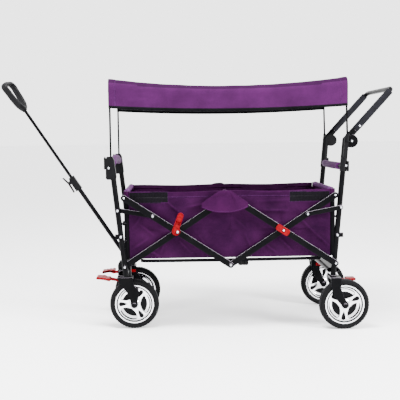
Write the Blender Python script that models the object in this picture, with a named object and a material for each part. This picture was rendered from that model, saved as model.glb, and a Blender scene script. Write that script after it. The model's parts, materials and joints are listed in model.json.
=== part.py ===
"""Folding wagon with a push handle, a pull bar, a canopy and four wheels.

Metres, +Z up. The pull-bar end is the front and points to -X, the push handle
is at the rear, and the wagon's left side is -Y. Sizes across the wagon are
given as distances out from its centre plane.
"""
import math

import bmesh
import bpy
from mathutils import Matrix, Vector

for old in list(bpy.data.objects):
    bpy.data.objects.remove(old, do_unlink=True)

# Running gear
WHEEL_DIAMETER = 0.200
WHEEL_BASE = 0.840
REAR_TRACK = 0.460
FRONT_TRACK = 0.296
CASTER_TRAIL = 0.038
REAR_FORK_TRAIL = 0.0345
TYRE_WIDTH = 0.044
TYRE_HEIGHT = 0.021
RIM_LIP = 0.009
HUB_RADIUS = 0.014
WEB_HALF = 0.005
AXLE_DIAMETER = 0.008
FORK_PLATE = 0.004
CROWN_THICKNESS = 0.008
CROWN_GAP = 0.003
STEM_DIAMETER = 0.016

# Folding frame
TUBE = 0.022
TUBE_WALL = 0.0015
FRAME_LIFT = 0.065
FRONT_PIVOT_SETBACK = 0.007
OPEN_ANGLE = math.radians(33.0)
FRONT_LEAN = math.radians(6.2)
REAR_LEAN = math.radians(5.2)
BAR_WIDTH = 0.024
BAR_THICKNESS = 0.010
PIN_DIAMETER = 0.008
RIVET_HEAD = 0.014
RIVET_HEIGHT = 0.003
BRACE_ARM = 0.1157
BRACE_WIDTH = 0.018
BRACE_PIN_HEIGHT = 0.223
FRONT_POST_HEIGHT = 0.395
REAR_POST_HEIGHT = 0.435
POST_FOOT = 0.018
CORNER_POST = 0.018
BEAM_WIDTH = 0.040
BEAM_HEIGHT = 0.024
REAR_BEAM_HEIGHT = 0.020

# Fabric tub and canopy
TUB_HALF_WIDTH = 0.212
FABRIC = 0.003
TUB_BOTTOM = 0.026
TUB_RIM = 0.297
CANOPY_TOP = 0.738
CANOPY_SAG = 0.030
CANOPY_DROP = 0.114
CANOPY_HALF_WIDTH = 0.242
CANOPY_SHEET = 0.002
BOW = 0.008
BOW_HALF_WIDTH = 0.235

# Handles
HANDLE_PIVOT_HEIGHT = 0.484
HANDLE_PIVOT_OFFSET = 0.0215
HANDLE_ANGLE = math.radians(47.5)
HANDLE_OFFSET = 0.0187
HANDLE_LENGTH = 0.262
HANDLE_TUBE = 0.019
HANDLE_GRIP = 0.028
HUB_DISC = 0.026
SLEEVE = 0.027
GRAB_TUBE = 0.016
GRAB_FOAM = 0.030
GRAB_HEIGHT = 0.398
GRAB_RISE = 0.035
REAR_GRAB_HEIGHT = 0.384
PULL_ANGLE = math.radians(56.6)
PULL_OUTER = 0.018
PULL_INNER = 0.013
PULL_OUTER_LENGTH = 0.372
PULL_REACH = 0.742
PULL_OVERLAP = 0.060
GRIP_LENGTH = 0.140
GRIP_HALF_WIDTH = 0.052
GRIP_DEPTH = 0.028
GRIP_BAR = 0.016

# Clearances
GAP = 0.0003
RUNNING_GAP = 0.0005
PIN_GAP = 0.0005
LAYER_GAP = 0.0013
SIDE_GAP = 0.005

# Levels and stations worked out from the sizes above
WHEEL_RADIUS = WHEEL_DIAMETER / 2
CROWN_BOTTOM = WHEEL_DIAMETER + CROWN_GAP
CROWN_TOP = CROWN_BOTTOM + CROWN_THICKNESS
PIVOT_Z = WHEEL_DIAMETER + FRAME_LIFT
FRONT_AXLE_X = -WHEEL_BASE / 2
REAR_AXLE_X = WHEEL_BASE / 2
SWIVEL_X = FRONT_AXLE_X - CASTER_TRAIL
FRONT_PIVOT_X = SWIVEL_X + FRONT_PIVOT_SETBACK
REAR_PIVOT_X = REAR_AXLE_X - REAR_FORK_TRAIL
BAR_HALF = (REAR_PIVOT_X - FRONT_PIVOT_X) / 4 / math.cos(OPEN_ANGLE)
STEP_X = BAR_HALF * math.cos(OPEN_ANGLE)
STEP_Z = BAR_HALF * math.sin(OPEN_ANGLE)
CENTRE_X = FRONT_PIVOT_X + 2 * STEP_X
CROSSING_Z = PIVOT_Z + STEP_Z
TOP_Z = PIVOT_Z + 2 * STEP_Z

# Layers across the wagon: tub, inner bars, outer bars, front posts
INNER_FACE = TUB_HALF_WIDTH + SIDE_GAP
INNER_BACK = INNER_FACE + BAR_THICKNESS
OUTER_FACE = INNER_BACK + LAYER_GAP
OUTER_BACK = OUTER_FACE + BAR_THICKNESS
FRONT_POST_OUT = INNER_BACK + RUNNING_GAP + TUBE / 2
REAR_POST_OUT = INNER_FACE - RUNNING_GAP - TUBE / 2
CORNER_POST_OUT = TUB_HALF_WIDTH + 0.001 - CORNER_POST / 2
FORK_HALF = TYRE_WIDTH / 2 + 0.0025
FORK_OUT = FORK_HALF + FORK_PLATE

SIDES = {"left": -1, "right": 1}


def material(name, colour, roughness, metallic=0.0):
    shade = bpy.data.materials.new(name)
    shade.use_nodes = True
    shader = shade.node_tree.nodes["Principled BSDF"]
    shader.inputs["Base Color"].default_value = (*colour, 1.0)
    shader.inputs["Roughness"].default_value = roughness
    shader.inputs["Metallic"].default_value = metallic
    shade.diffuse_color = (*colour, 1.0)
    return shade


BLACK_STEEL = material("black_painted_steel", (0.012, 0.012, 0.014), 0.3)
BLACK_PLASTIC = material("black_moulded_plastic", (0.018, 0.018, 0.020), 0.45)
RED_PLASTIC = material("red_moulded_plastic", (0.55, 0.015, 0.02), 0.35)
CHROMED_PLASTIC = material("chromed_plastic", (0.8, 0.8, 0.82), 0.12, 1.0)
TYRE_RUBBER = material("tyre_rubber", (0.015, 0.015, 0.017), 0.7)
FOAM = material("black_foam", (0.02, 0.02, 0.024), 0.85)
PURPLE_FOAM = material("purple_foam", (0.16, 0.04, 0.18), 0.8)
TUB_FABRIC = material("purple_tub_fabric", (0.07, 0.014, 0.08), 0.85)
CANOPY_FABRIC = material("purple_canopy_fabric", (0.16, 0.035, 0.17), 0.8)


# Shape tools

def solid(bm, name="piece"):
    """Object from a closed bmesh, with its faces turned outwards."""
    bmesh.ops.recalc_face_normals(bm, faces=bm.faces)
    mesh = bpy.data.meshes.new(name)
    bm.to_mesh(mesh)
    bm.free()
    piece = bpy.data.objects.new(name, mesh)
    bpy.context.scene.collection.objects.link(piece)
    return piece


def rings_solid(rings, loop=False):
    """Closed solid through rings of points; loop joins the last ring to the first."""
    bm = bmesh.new()
    rows = [[bm.verts.new(point) for point in ring] for ring in rings]
    pairs = list(zip(rows, rows[1:]))
    if loop:
        pairs.append((rows[-1], rows[0]))
    for row, following in pairs:
        count = len(row)
        for i in range(count):
            j = (i + 1) % count
            bm.faces.new((row[i], row[j], following[j], following[i]))
    if not loop:
        bm.faces.new(rows[0])
        bm.faces.new(rows[-1])
    return solid(bm)


def plate(outline, near, far):
    """Outline of (x, z) points carried across the wagon from y near to y far."""
    return rings_solid([[(x, y, z) for x, z in outline] for y in (near, far)])


def block(low, high):
    outline = [(low[0], low[2]), (high[0], low[2]), (high[0], high[2]), (low[0], high[2])]
    return plate(outline, low[1], high[1])


def arc(centre, radius, start, end, steps):
    """Points on an arc in the x-z plane; angles in degrees from +X towards +Z."""
    points = []
    for i in range(steps + 1):
        angle = math.radians(start + (end - start) * i / steps)
        points.append((centre[0] + radius * math.cos(angle), centre[1] + radius * math.sin(angle)))
    return points


def slot_outline(start, end, width, steps=5):
    """Outline of a flat bar with round ends between two (x, z) centres."""
    heading = math.degrees(math.atan2(end[1] - start[1], end[0] - start[0]))
    first = arc(start, width / 2, heading + 90, heading + 270, steps)
    second = arc(end, width / 2, heading - 90, heading + 90, steps)
    return first + second


def rod(start, end, radius, sides=12, start_cut=None, end_cut=None):
    """Round bar; a cut is the normal of a mitred end."""
    start, end = Vector(start), Vector(end)
    axis = (end - start).normalized()
    aside = axis.orthogonal().normalized()
    if abs(axis.y) < 0.9:
        aside = Vector((0, 1, 0)) - axis * axis.y
        aside.normalize()
    other = axis.cross(aside)
    rings = []
    for centre, cut in ((start, start_cut), (end, end_cut)):
        ring = []
        for i in range(sides):
            angle = 2 * math.pi * (i + 0.5) / sides
            offset = radius * (math.cos(angle) * aside + math.sin(angle) * other)
            if cut is not None:
                offset -= axis * (offset.dot(Vector(cut)) / axis.dot(Vector(cut)))
            ring.append(centre + offset)
        rings.append(ring)
    return rings_solid(rings)


def cross_rod(x, z, near, far, radius, sides=12):
    return rod((x, near, z), (x, far, z), radius, sides)


def path_rings(path, across, radii, sides):
    """Rings around a flat path; across is square to its plane, radii are (in plane, across)."""
    across = Vector(across)
    path = [Vector(point) for point in path]
    rings = []
    for i, centre in enumerate(path):
        before = path[max(i - 1, 0)]
        after = path[min(i + 1, len(path) - 1)]
        tangent = (after - before).normalized()
        aside = tangent.cross(across).normalized()
        flat, wide = radii[i] if isinstance(radii, list) else radii
        ring = []
        for k in range(sides):
            angle = 2 * math.pi * (k + 0.5) / sides
            ring.append(centre + flat * math.cos(angle) * aside + wide * math.sin(angle) * across)
        rings.append(ring)
    return rings


def bent_rod(path, across, radius, sides=12):
    return rings_solid(path_rings(path, across, (radius, radius), sides))


def pipe(path, across, radius, bore, sides=12):
    """Hollow tube with open ends."""
    outside = path_rings(path, across, (radius, radius), sides)
    inside = path_rings(path, across, (bore, bore), sides)
    return rings_solid(outside + inside[::-1], loop=True)


def round_path(corners, radius, steps=4):
    """Path through the corners, each inner one rounded to the radius."""
    corners = [Vector(corner) for corner in corners]
    path = [corners[0]]
    for before, corner, after in zip(corners, corners[1:], corners[2:]):
        back = (before - corner).normalized()
        ahead = (after - corner).normalized()
        half = back.angle(ahead) / 2
        reach = radius / math.tan(half)
        centre = corner + (back + ahead).normalized() * radius / math.sin(half)
        first = corner + back * reach - centre
        last = corner + ahead * reach - centre
        for i in range(steps + 1):
            path.append(centre + radius * first.slerp(last, i / steps).normalized())
    path.append(corners[-1])
    return path


def turned(profile, centre, sides=32):
    """Ring turned about an axis across the wagon from (radius, y) points."""
    rings = []
    for i in range(sides):
        angle = 2 * math.pi * i / sides
        rings.append([(centre[0] + r * math.cos(angle), centre[1] + y, centre[2] + r * math.sin(angle))
                      for r, y in profile])
    return rings_solid(rings, loop=True)


def combine(target, tools, operation):
    """Applies Boolean steps to the target and removes the tools."""
    for tool in tools:
        step = target.modifiers.new("step", "BOOLEAN")
        step.operation = operation
        step.object = tool
    bpy.context.view_layer.update()
    graph = bpy.context.evaluated_depsgraph_get()
    mesh = bpy.data.meshes.new_from_object(target.evaluated_get(graph))
    target.modifiers.clear()
    old = target.data
    target.data = mesh
    bpy.data.meshes.remove(old)
    for tool in tools:
        data = tool.data
        bpy.data.objects.remove(tool)
        bpy.data.meshes.remove(data)
    return target


def add(target, *tools):
    return combine(target, tools, "UNION")


def cut(target, *tools):
    return combine(target, tools, "DIFFERENCE")


# Bodies: an empty stands on each joint's axis, and the pieces hang from it

BODIES = {}
JOINTS = {}


def body(name, pivot=(0, 0, 0), parent=None):
    marker = bpy.data.objects.new("body_" + name, None)
    marker.empty_display_size = 0.03
    bpy.context.scene.collection.objects.link(marker)
    marker.location = Vector(pivot)
    if parent:
        marker.parent = BODIES[parent][0]
        marker.location = Vector(pivot) - BODIES[parent][1]
    BODIES[name] = (marker, Vector(pivot))
    return marker


def node(piece, name, shade, carrier):
    """Names a finished piece, gives it its material and hangs it on its body."""
    marker, pivot = BODIES[carrier]
    piece.name = name
    piece.data.name = name
    piece.data.transform(Matrix.Translation(-pivot))
    piece.parent = marker
    piece.data.materials.clear()
    piece.data.materials.append(shade)
    piece.data.shade_smooth()
    piece.data.set_sharp_from_angle(angle=math.radians(40))
    return piece


def pair(build, name, shade, carrier):
    """Left and right nodes of a piece that both sides have."""
    for label, side in SIDES.items():
        node(build(side), f"{name}_{label}", shade, carrier)


# Points that the frame's pieces share

def front_post_x(z):
    return FRONT_PIVOT_X - (z - PIVOT_Z) * math.tan(FRONT_LEAN)


def rear_post_x(z):
    return REAR_PIVOT_X + (z - PIVOT_Z) * math.tan(REAR_LEAN)


FRONT_PIVOT = (FRONT_PIVOT_X, PIVOT_Z)
FRONT_CROSSING = (FRONT_PIVOT_X + STEP_X, CROSSING_Z)
TOP_CENTRE = (CENTRE_X, TOP_Z)
BOTTOM_CENTRE = (CENTRE_X, PIVOT_Z)
REAR_CROSSING = (REAR_PIVOT_X - STEP_X, CROSSING_Z)
REAR_PIVOT = (REAR_PIVOT_X, PIVOT_Z)
FRONT_TOP = (FRONT_PIVOT_X, TOP_Z)
REAR_TOP = (REAR_PIVOT_X, TOP_Z)
HANDLE_PIVOT_Z = PIVOT_Z + HANDLE_PIVOT_HEIGHT
HANDLE_PIVOT_X = rear_post_x(HANDLE_PIVOT_Z) + HANDLE_PIVOT_OFFSET
BEAM_TOP = PIVOT_Z - BAR_WIDTH / 2 - 0.003
BEAM_BOTTOM = BEAM_TOP - BEAM_HEIGHT
PULL_PIVOT = (SWIVEL_X, BEAM_TOP + 0.018)
PULL_DIRECTION = Vector((-math.cos(PULL_ANGLE), 0, math.sin(PULL_ANGLE)))
PEDAL_PIVOT = (SWIVEL_X - 0.012, CROWN_BOTTOM - 0.013)
REAR_PEDAL_PIVOT = (REAR_AXLE_X - 0.028, CROWN_BOTTOM - 0.013)
CLAMP_LEVER_PIVOT = (front_post_x(PIVOT_Z + 0.390) - TUBE / 2 - 0.0095, PIVOT_Z + 0.390)
GRIP_LEVER_AT = PULL_OUTER_LENGTH + 0.020
GRIP_LEVER_ASIDE = 0.0195


def pull_point(along, aside=0.0):
    """Point on the pull bar: distance up from its pivot, and aside below the bar."""
    x = PULL_PIVOT[0] - along * math.cos(PULL_ANGLE) - aside * math.sin(PULL_ANGLE)
    z = PULL_PIVOT[1] + along * math.sin(PULL_ANGLE) - aside * math.cos(PULL_ANGLE)
    return x, z


GRIP_LEVER_PIVOT = pull_point(GRIP_LEVER_AT, GRIP_LEVER_ASIDE)

body("front_frame")
body("front_bars", (FRONT_PIVOT[0], 0, FRONT_PIVOT[1]), "front_frame")
body("front_cross_bars", (FRONT_CROSSING[0], 0, FRONT_CROSSING[1]), "front_bars")
body("rear_bars", (TOP_CENTRE[0], 0, TOP_CENTRE[1]), "front_bars")
body("rear_cross_bars", (REAR_CROSSING[0], 0, REAR_CROSSING[1]), "rear_bars")
body("rear_frame", (REAR_PIVOT[0], 0, REAR_PIVOT[1]), "rear_bars")
FRONT_BRACE_PIN = (FRONT_CROSSING[0] - BRACE_ARM * math.cos(OPEN_ANGLE),
                   CROSSING_Z + BRACE_ARM * math.sin(OPEN_ANGLE))
REAR_BRACE_PIN = (REAR_CROSSING[0] + BRACE_ARM * math.cos(OPEN_ANGLE),
                  CROSSING_Z + BRACE_ARM * math.sin(OPEN_ANGLE))
body("front_braces", (FRONT_BRACE_PIN[0], 0, FRONT_BRACE_PIN[1]), "front_cross_bars")
body("rear_braces", (REAR_BRACE_PIN[0], 0, REAR_BRACE_PIN[1]), "rear_cross_bars")
body("push_handle", (HANDLE_PIVOT_X, 0, HANDLE_PIVOT_Z), "rear_frame")
body("pull_bar", (PULL_PIVOT[0], 0, PULL_PIVOT[1]), "front_frame")
body("pull_slider", (*pull_point(PULL_OUTER_LENGTH)[:1], 0, pull_point(PULL_OUTER_LENGTH)[1]), "pull_bar")
body("pull_lever", (GRIP_LEVER_PIVOT[0], 0, GRIP_LEVER_PIVOT[1]), "pull_bar")
for label, side in SIDES.items():
    caster_y = side * FRONT_TRACK / 2
    wheel_y = side * REAR_TRACK / 2
    body("caster_" + label, (SWIVEL_X, caster_y, CROWN_TOP), "front_frame")
    body("front_wheel_" + label, (FRONT_AXLE_X, caster_y, WHEEL_RADIUS), "caster_" + label)
    body("caster_pedal_" + label, (PEDAL_PIVOT[0], caster_y, PEDAL_PIVOT[1]), "caster_" + label)
    body("rear_wheel_" + label, (REAR_AXLE_X, wheel_y, WHEEL_RADIUS), "rear_frame")
    body("rear_pedal_" + label, (REAR_PEDAL_PIVOT[0], wheel_y, REAR_PEDAL_PIVOT[1]), "rear_frame")
    body("latch_" + label, (FRONT_CROSSING[0], side * OUTER_BACK, CROSSING_Z), "front_cross_bars")
    body("canopy_lever_" + label, (CLAMP_LEVER_PIVOT[0], side * FRONT_POST_OUT, CLAMP_LEVER_PIVOT[1]),
         "front_frame")

# Front frame: leaning uprights, fabric posts, low beam and caster housings

POST_LOW = PIVOT_Z - 0.035
FRONT_POST_TOP = PIVOT_Z + 0.400
FLOOR_Z = PIVOT_Z + TUB_BOTTOM
RIM_Z = PIVOT_Z + TUB_RIM
FRONT_CORNER_X = FRONT_PIVOT_X + 0.008
REAR_CORNER_X = REAR_PIVOT_X - 0.0075
PIN = PIN_DIAMETER / 2
HEAD = RIVET_HEAD / 2
INNER_HEAD = INNER_FACE - GAP - RIVET_HEIGHT


def crossing_pin(point, side, inner, outer, inner_head=True, outer_head=True):
    """Rivet through a crossing, with heads standing on its two ends."""
    x, z = point
    near, far = (inner, outer) if side > 0 else (-outer, -inner)
    parts = [cross_rod(x, z, near, far, PIN, 10)]
    if inner_head:
        ends = (inner, inner + RIVET_HEIGHT) if side > 0 else (-inner - RIVET_HEIGHT, -inner)
        parts.append(cross_rod(x, z, *ends, HEAD, 10))
    if outer_head:
        ends = (outer - RIVET_HEIGHT, outer) if side > 0 else (-outer, -outer + RIVET_HEIGHT)
        parts.append(cross_rod(x, z, *ends, HEAD, 10))
    return parts


def spread(side, inner, outer):
    """The two y values of a layer on one side, in rising order."""
    return (inner, outer) if side > 0 else (-outer, -inner)


def front_upright(side):
    y = side * FRONT_POST_OUT
    path = [(front_post_x(z), y, z) for z in (POST_LOW, FRONT_POST_TOP)]
    post = pipe(path, (0, 1, 0), TUBE / 2, TUBE / 2 - TUBE_WALL)
    outside = FRONT_POST_OUT + TUBE / 2 + 0.003
    parts = crossing_pin(FRONT_PIVOT, side, INNER_HEAD, outside)
    for height in (0.120, 0.223):
        x, z = front_post_x(PIVOT_Z + height), PIVOT_Z + height
        parts.append(cross_rod(x, z, *spread(side, FRONT_POST_OUT + 0.008, outside), 0.006, 10))
    catch = front_post_x(PIVOT_Z + 0.120)
    parts.append(block((catch - 0.023, min(side * 0.234, side * 0.243), PIVOT_Z + 0.110),
                       (catch - TUBE / 2 + 0.002, max(side * 0.234, side * 0.243), PIVOT_Z + 0.130)))
    return add(post, *parts)


def front_corner(side):
    y = side * CORNER_POST_OUT
    post = rod((FRONT_CORNER_X, y, FLOOR_Z), (FRONT_CORNER_X, y, RIM_Z), CORNER_POST / 2, 14)
    arms = []
    for height in (0.100, 0.170):
        z = PIVOT_Z + height
        target = Vector((front_post_x(z), side * FRONT_POST_OUT, z))
        start = Vector((FRONT_CORNER_X, y, z))
        heading = (target - start).normalized()
        arms.append(rod(start, target - heading * (TUBE / 2 - 0.001), 0.0045, 8))
    return add(post, *arms)


def rounded_box_outline(low, high, radius, steps=3):
    (x0, z0), (x1, z1) = low, high
    r = radius
    return (arc((x1 - r, z0 + r), r, -90, 0, steps) + arc((x1 - r, z1 - r), r, 0, 90, steps)
            + arc((x0 + r, z1 - r), r, 90, 180, steps) + arc((x0 + r, z0 + r), r, 180, 270, steps))


def hollow_beam(low, high, radius, half, wall):
    outer = rounded_box_outline(low, high, radius)
    inner = rounded_box_outline((low[0] + wall, low[1] + wall), (high[0] - wall, high[1] - wall),
                                radius - wall)
    outside = [[(x, y, z) for x, z in outer] for y in (-half, half)]
    inside = [[(x, y, z) for x, z in inner] for y in (half, -half)]
    return rings_solid(outside + inside, loop=True)


BEAM_LOW = (SWIVEL_X - BEAM_WIDTH / 2, BEAM_BOTTOM)
BEAM_HIGH = (SWIVEL_X + BEAM_WIDTH / 2, BEAM_TOP)
STEM = STEM_DIAMETER / 2
HOUSING_HALF = 0.022
HOUSING_TOP = PIVOT_Z + 0.010
WELD = 0.001
beam = hollow_beam(BEAM_LOW, BEAM_HIGH, 0.010, FRONT_POST_OUT - TUBE / 2 + WELD, 0.002)
holes = [rod((SWIVEL_X, side * FRONT_TRACK / 2, BEAM_BOTTOM - 0.01),
             (SWIVEL_X, side * FRONT_TRACK / 2, BEAM_TOP + 0.01), STEM + 0.001, 16)
         for side in SIDES.values()]
front_tubes = add(cut(beam, *holes), *(build(side) for side in SIDES.values()
                                       for build in (front_upright, front_corner)))
node(front_tubes, "front_frame_tubes", BLACK_STEEL, "front_frame")


def caster_housing(side):
    y = side * FRONT_TRACK / 2
    low, high = SWIVEL_X - 0.026, SWIVEL_X + 0.026
    outline = [(low, CROWN_TOP + RUNNING_GAP), (high, CROWN_TOP + RUNNING_GAP), (high, HOUSING_TOP - 0.012),
               (high - 0.007, HOUSING_TOP), (low + 0.007, HOUSING_TOP), (low, HOUSING_TOP - 0.012)]
    shell = plate(outline, y - HOUSING_HALF, y + HOUSING_HALF)
    slot = rounded_box_outline((BEAM_LOW[0] - GAP, BEAM_LOW[1] - GAP), (BEAM_HIGH[0] + GAP, BEAM_HIGH[1] + GAP),
                               0.010)
    channel = plate(slot, y - 0.03, y + 0.03)
    bore = rod((SWIVEL_X, y, CROWN_BOTTOM), (SWIVEL_X, y, HOUSING_TOP - 0.006), STEM + PIN_GAP, 16)
    rivets = [cross_rod(SWIVEL_X + 0.004, HOUSING_TOP - 0.010, *spread(side, abs(y) + HOUSING_HALF - 0.002,
                                                                   abs(y) + HOUSING_HALF + 0.002), 0.005, 10)]
    return add(cut(shell, channel, bore), *rivets)


pair(caster_housing, "caster_housing", BLACK_PLASTIC, "front_frame")

# Rear frame: leaning uprights, fabric posts, low beam and fixed forks

MITRE_OFFSET = Vector((-math.sin(HANDLE_ANGLE), math.cos(HANDLE_ANGLE))) * HANDLE_OFFSET
LEG_START = Vector((HANDLE_PIVOT_X, HANDLE_PIVOT_Z)) + MITRE_OFFSET
LEG_HEADING = Vector((math.cos(HANDLE_ANGLE), math.sin(HANDLE_ANGLE)))
POST_HEADING = Vector((math.sin(REAR_LEAN), math.cos(REAR_LEAN)))
slide = ((rear_post_x(LEG_START.y) - LEG_START.x)
         / (LEG_HEADING.x - LEG_HEADING.y * math.tan(REAR_LEAN)))
MITRE = LEG_START + LEG_HEADING * slide
MITRE_NORMAL = (LEG_HEADING + POST_HEADING).normalized()
EAR_SPLIT = REAR_POST_OUT
EAR_THICKNESS = 0.013
REAR_TUBE_TOP = PIVOT_Z + 0.435
REAR_SLEEVE_LOW = PIVOT_Z + 0.365


def rear_upright(side):
    y = side * REAR_POST_OUT
    path = [(rear_post_x(z), y, z) for z in (CROWN_TOP - WELD, REAR_TUBE_TOP)]
    post = pipe(path, (0, 1, 0), TUBE / 2, TUBE / 2 - TUBE_WALL)
    boss_end = OUTER_FACE - RUNNING_GAP
    parts = crossing_pin(REAR_PIVOT, side, REAR_POST_OUT, OUTER_BACK + GAP + RIVET_HEIGHT, inner_head=False)
    surface = REAR_POST_OUT + TUBE / 2
    parts.append(cross_rod(*REAR_PIVOT, *spread(side, surface - 0.003, boss_end), 0.008, 12))
    z = PIVOT_Z + BRACE_PIN_HEIGHT
    parts.append(cross_rod(rear_post_x(z), z, *spread(side, surface - 0.003, boss_end), 0.007, 12))
    z = PIVOT_Z + 0.110
    parts.append(cross_rod(rear_post_x(z), z, *spread(side, surface - 0.003, surface + 0.003), 0.006, 10))
    edge = rear_post_x(z) + TUBE / 2
    parts.append(block((edge - 0.002, min(side * 0.200, side * 0.211), z - 0.009),
                       (edge + 0.014, max(side * 0.200, side * 0.211), z + 0.009)))
    return add(post, *parts)


def rear_corner(side):
    y = side * CORNER_POST_OUT
    post = rod((REAR_CORNER_X, y, PIVOT_Z + 0.165), (REAR_CORNER_X, y, RIM_Z), CORNER_POST / 2, 14)
    arms = []
    for height in (0.185, 0.270):
        z = PIVOT_Z + height
        end = rear_post_x(z) - TUBE / 2 + WELD
        arms.append(rod((REAR_CORNER_X, y, z), (end, y, z), 0.0045, 8))
    return add(post, *arms)


def fork_legs(x_outline, centre_y):
    """Two side plates of a fork about its wheel."""
    return [plate(x_outline, centre_y + near, centre_y + near + FORK_PLATE)
            for near in (FORK_HALF, -FORK_OUT)]


REAR_LEG = ([(REAR_AXLE_X - 0.058, CROWN_BOTTOM + 0.001), (REAR_AXLE_X - 0.054, WHEEL_RADIUS + 0.065),
             (REAR_AXLE_X - 0.039, WHEEL_RADIUS + 0.027)]
            + arc((REAR_AXLE_X, WHEEL_RADIUS), 0.013, 205, 415, 8)
            + [(REAR_AXLE_X - 0.002, WHEEL_RADIUS + 0.027), (REAR_AXLE_X - 0.017, WHEEL_RADIUS + 0.065),
               (REAR_AXLE_X - 0.016, CROWN_BOTTOM + 0.001)])
FRONT_LEG = ([(SWIVEL_X - 0.026, CROWN_BOTTOM + 0.001), (SWIVEL_X - 0.020, WHEEL_RADIUS + 0.078),
              (SWIVEL_X - 0.001, WHEEL_RADIUS + 0.063), (FRONT_AXLE_X - 0.020, WHEEL_RADIUS + 0.036)]
             + arc((FRONT_AXLE_X, WHEEL_RADIUS), 0.013, 190, 370, 8)
             + [(FRONT_AXLE_X + 0.017, WHEEL_RADIUS + 0.037), (FRONT_AXLE_X + 0.014, WHEEL_RADIUS + 0.063),
                (FRONT_AXLE_X - 0.002, WHEEL_RADIUS + 0.080), (SWIVEL_X + 0.032, CROWN_BOTTOM + 0.001)])
AXLE = AXLE_DIAMETER / 2


def axle(x, y):
    """Bolt through a fork, with a head on each side plate."""
    bolt = cross_rod(x, WHEEL_RADIUS, y - FORK_OUT, y + FORK_OUT, AXLE, 12)
    heads = [cross_rod(x, WHEEL_RADIUS, y + near, y + near + 0.005, 0.007, 12)
             for near in (FORK_OUT - 0.001, -FORK_OUT - 0.004)]
    return [bolt, *heads]


def rear_fork(side):
    y = side * REAR_TRACK / 2
    near, far = spread(side, REAR_POST_OUT - 0.012, REAR_TRACK / 2 + FORK_OUT)
    crown = block((REAR_AXLE_X - 0.058, near, CROWN_BOTTOM), (REAR_AXLE_X - 0.016, far, CROWN_TOP))
    pin = cross_rod(*REAR_PEDAL_PIVOT, *spread(side, REAR_TRACK / 2 - FORK_OUT - 0.010,
                                               REAR_TRACK / 2 - FORK_HALF - 0.001), 0.003, 10)
    return add(crown, *fork_legs(REAR_LEG, y), *axle(REAR_AXLE_X, y), pin)


REAR_BEAM_LOW = (REAR_PIVOT_X - 0.0275, PIVOT_Z - 0.043)
REAR_BEAM_HIGH = (REAR_PIVOT_X + 0.0225, PIVOT_Z - 0.043 + REAR_BEAM_HEIGHT)
rear_beam = hollow_beam(REAR_BEAM_LOW, REAR_BEAM_HIGH, 0.0095, REAR_POST_OUT - TUBE / 2 + WELD, 0.002)
rear_tubes = add(rear_beam, *(build(side) for side in SIDES.values()
                              for build in (rear_upright, rear_corner, rear_fork)))
node(rear_tubes, "rear_frame_tubes", BLACK_STEEL, "rear_frame")

# Scissor bars and brace links

HOLE = PIN + PIN_GAP


def bar(start, end, layer, side, holes):
    near, far = spread(side, *layer)
    strip = plate(slot_outline(start, end, BAR_WIDTH), near, far)
    drills = [cross_rod(*point, near - 0.01, far + 0.01, HOLE, 12) for point in holes]
    return cut(strip, *drills)


INNER_LAYER = (INNER_FACE, INNER_BACK)
OUTER_LAYER = (OUTER_FACE, OUTER_BACK)
OUTER_HEAD = OUTER_BACK + RIVET_HEIGHT
LATCH_FACE = OUTER_BACK + GAP
LATCH_BACK = LATCH_FACE + 0.009


def front_bar(side):
    return bar(FRONT_PIVOT, TOP_CENTRE, INNER_LAYER, side, [FRONT_PIVOT, FRONT_CROSSING, TOP_CENTRE])


def front_cross_bar(side):
    strip = plate(slot_outline(FRONT_TOP, BOTTOM_CENTRE, BAR_WIDTH), *spread(side, *OUTER_LAYER))
    pins = crossing_pin(FRONT_CROSSING, side, INNER_HEAD, LATCH_BACK + GAP + RIVET_HEIGHT)
    pins += crossing_pin(BOTTOM_CENTRE, side, INNER_HEAD, OUTER_HEAD)
    pins += crossing_pin(FRONT_BRACE_PIN, side, INNER_HEAD, OUTER_HEAD)
    return add(strip, *pins)


def rear_cross_bar(side):
    strip = bar(BOTTOM_CENTRE, REAR_TOP, INNER_LAYER, side, [BOTTOM_CENTRE, REAR_CROSSING])
    pins = crossing_pin(REAR_BRACE_PIN, side, INNER_FACE + 0.001, OUTER_HEAD, inner_head=False)
    return add(strip, *pins)


def brace(pin, end, layer, side):
    near, far = spread(side, *layer)
    link = plate(slot_outline(pin, end, BRACE_WIDTH), near, far)
    hole = cross_rod(*pin, near - 0.01, far + 0.01, HOLE, 12)
    return cut(link, hole)


BRACE_END_Z = PIVOT_Z + BRACE_PIN_HEIGHT
FRONT_BRACE_END = (front_post_x(BRACE_END_Z), BRACE_END_Z)
REAR_BRACE_END = (rear_post_x(BRACE_END_Z), BRACE_END_Z)


def front_brace(side):
    layer = (INNER_BACK - 0.0085, INNER_BACK - 0.0005)
    return brace(FRONT_BRACE_PIN, FRONT_BRACE_END, layer, side)


def rear_brace(side):
    layer = (OUTER_FACE, OUTER_FACE + 0.008)
    link = brace(REAR_BRACE_PIN, REAR_BRACE_END, layer, side)
    rivet = cross_rod(*REAR_BRACE_END, *spread(side, layer[1] - 0.001, OUTER_HEAD), HEAD, 12)
    return add(link, rivet)


pair(front_bar, "front_bar", BLACK_STEEL, "front_bars")
pair(front_cross_bar, "front_cross_bar", BLACK_STEEL, "front_cross_bars")
pair(rear_cross_bar, "rear_cross_bar", BLACK_STEEL, "rear_cross_bars")
pair(front_brace, "front_brace", BLACK_STEEL, "front_braces")
pair(rear_brace, "rear_brace", BLACK_STEEL, "rear_braces")

# Latch levers on the front crossing, and blocks on the rear crossing

LATCH_HUB = (FRONT_CROSSING[0] - 0.007, CROSSING_Z + 0.006)
LATCH_TIP = (FRONT_CROSSING[0] + 0.017, CROSSING_Z + 0.066)


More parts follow.
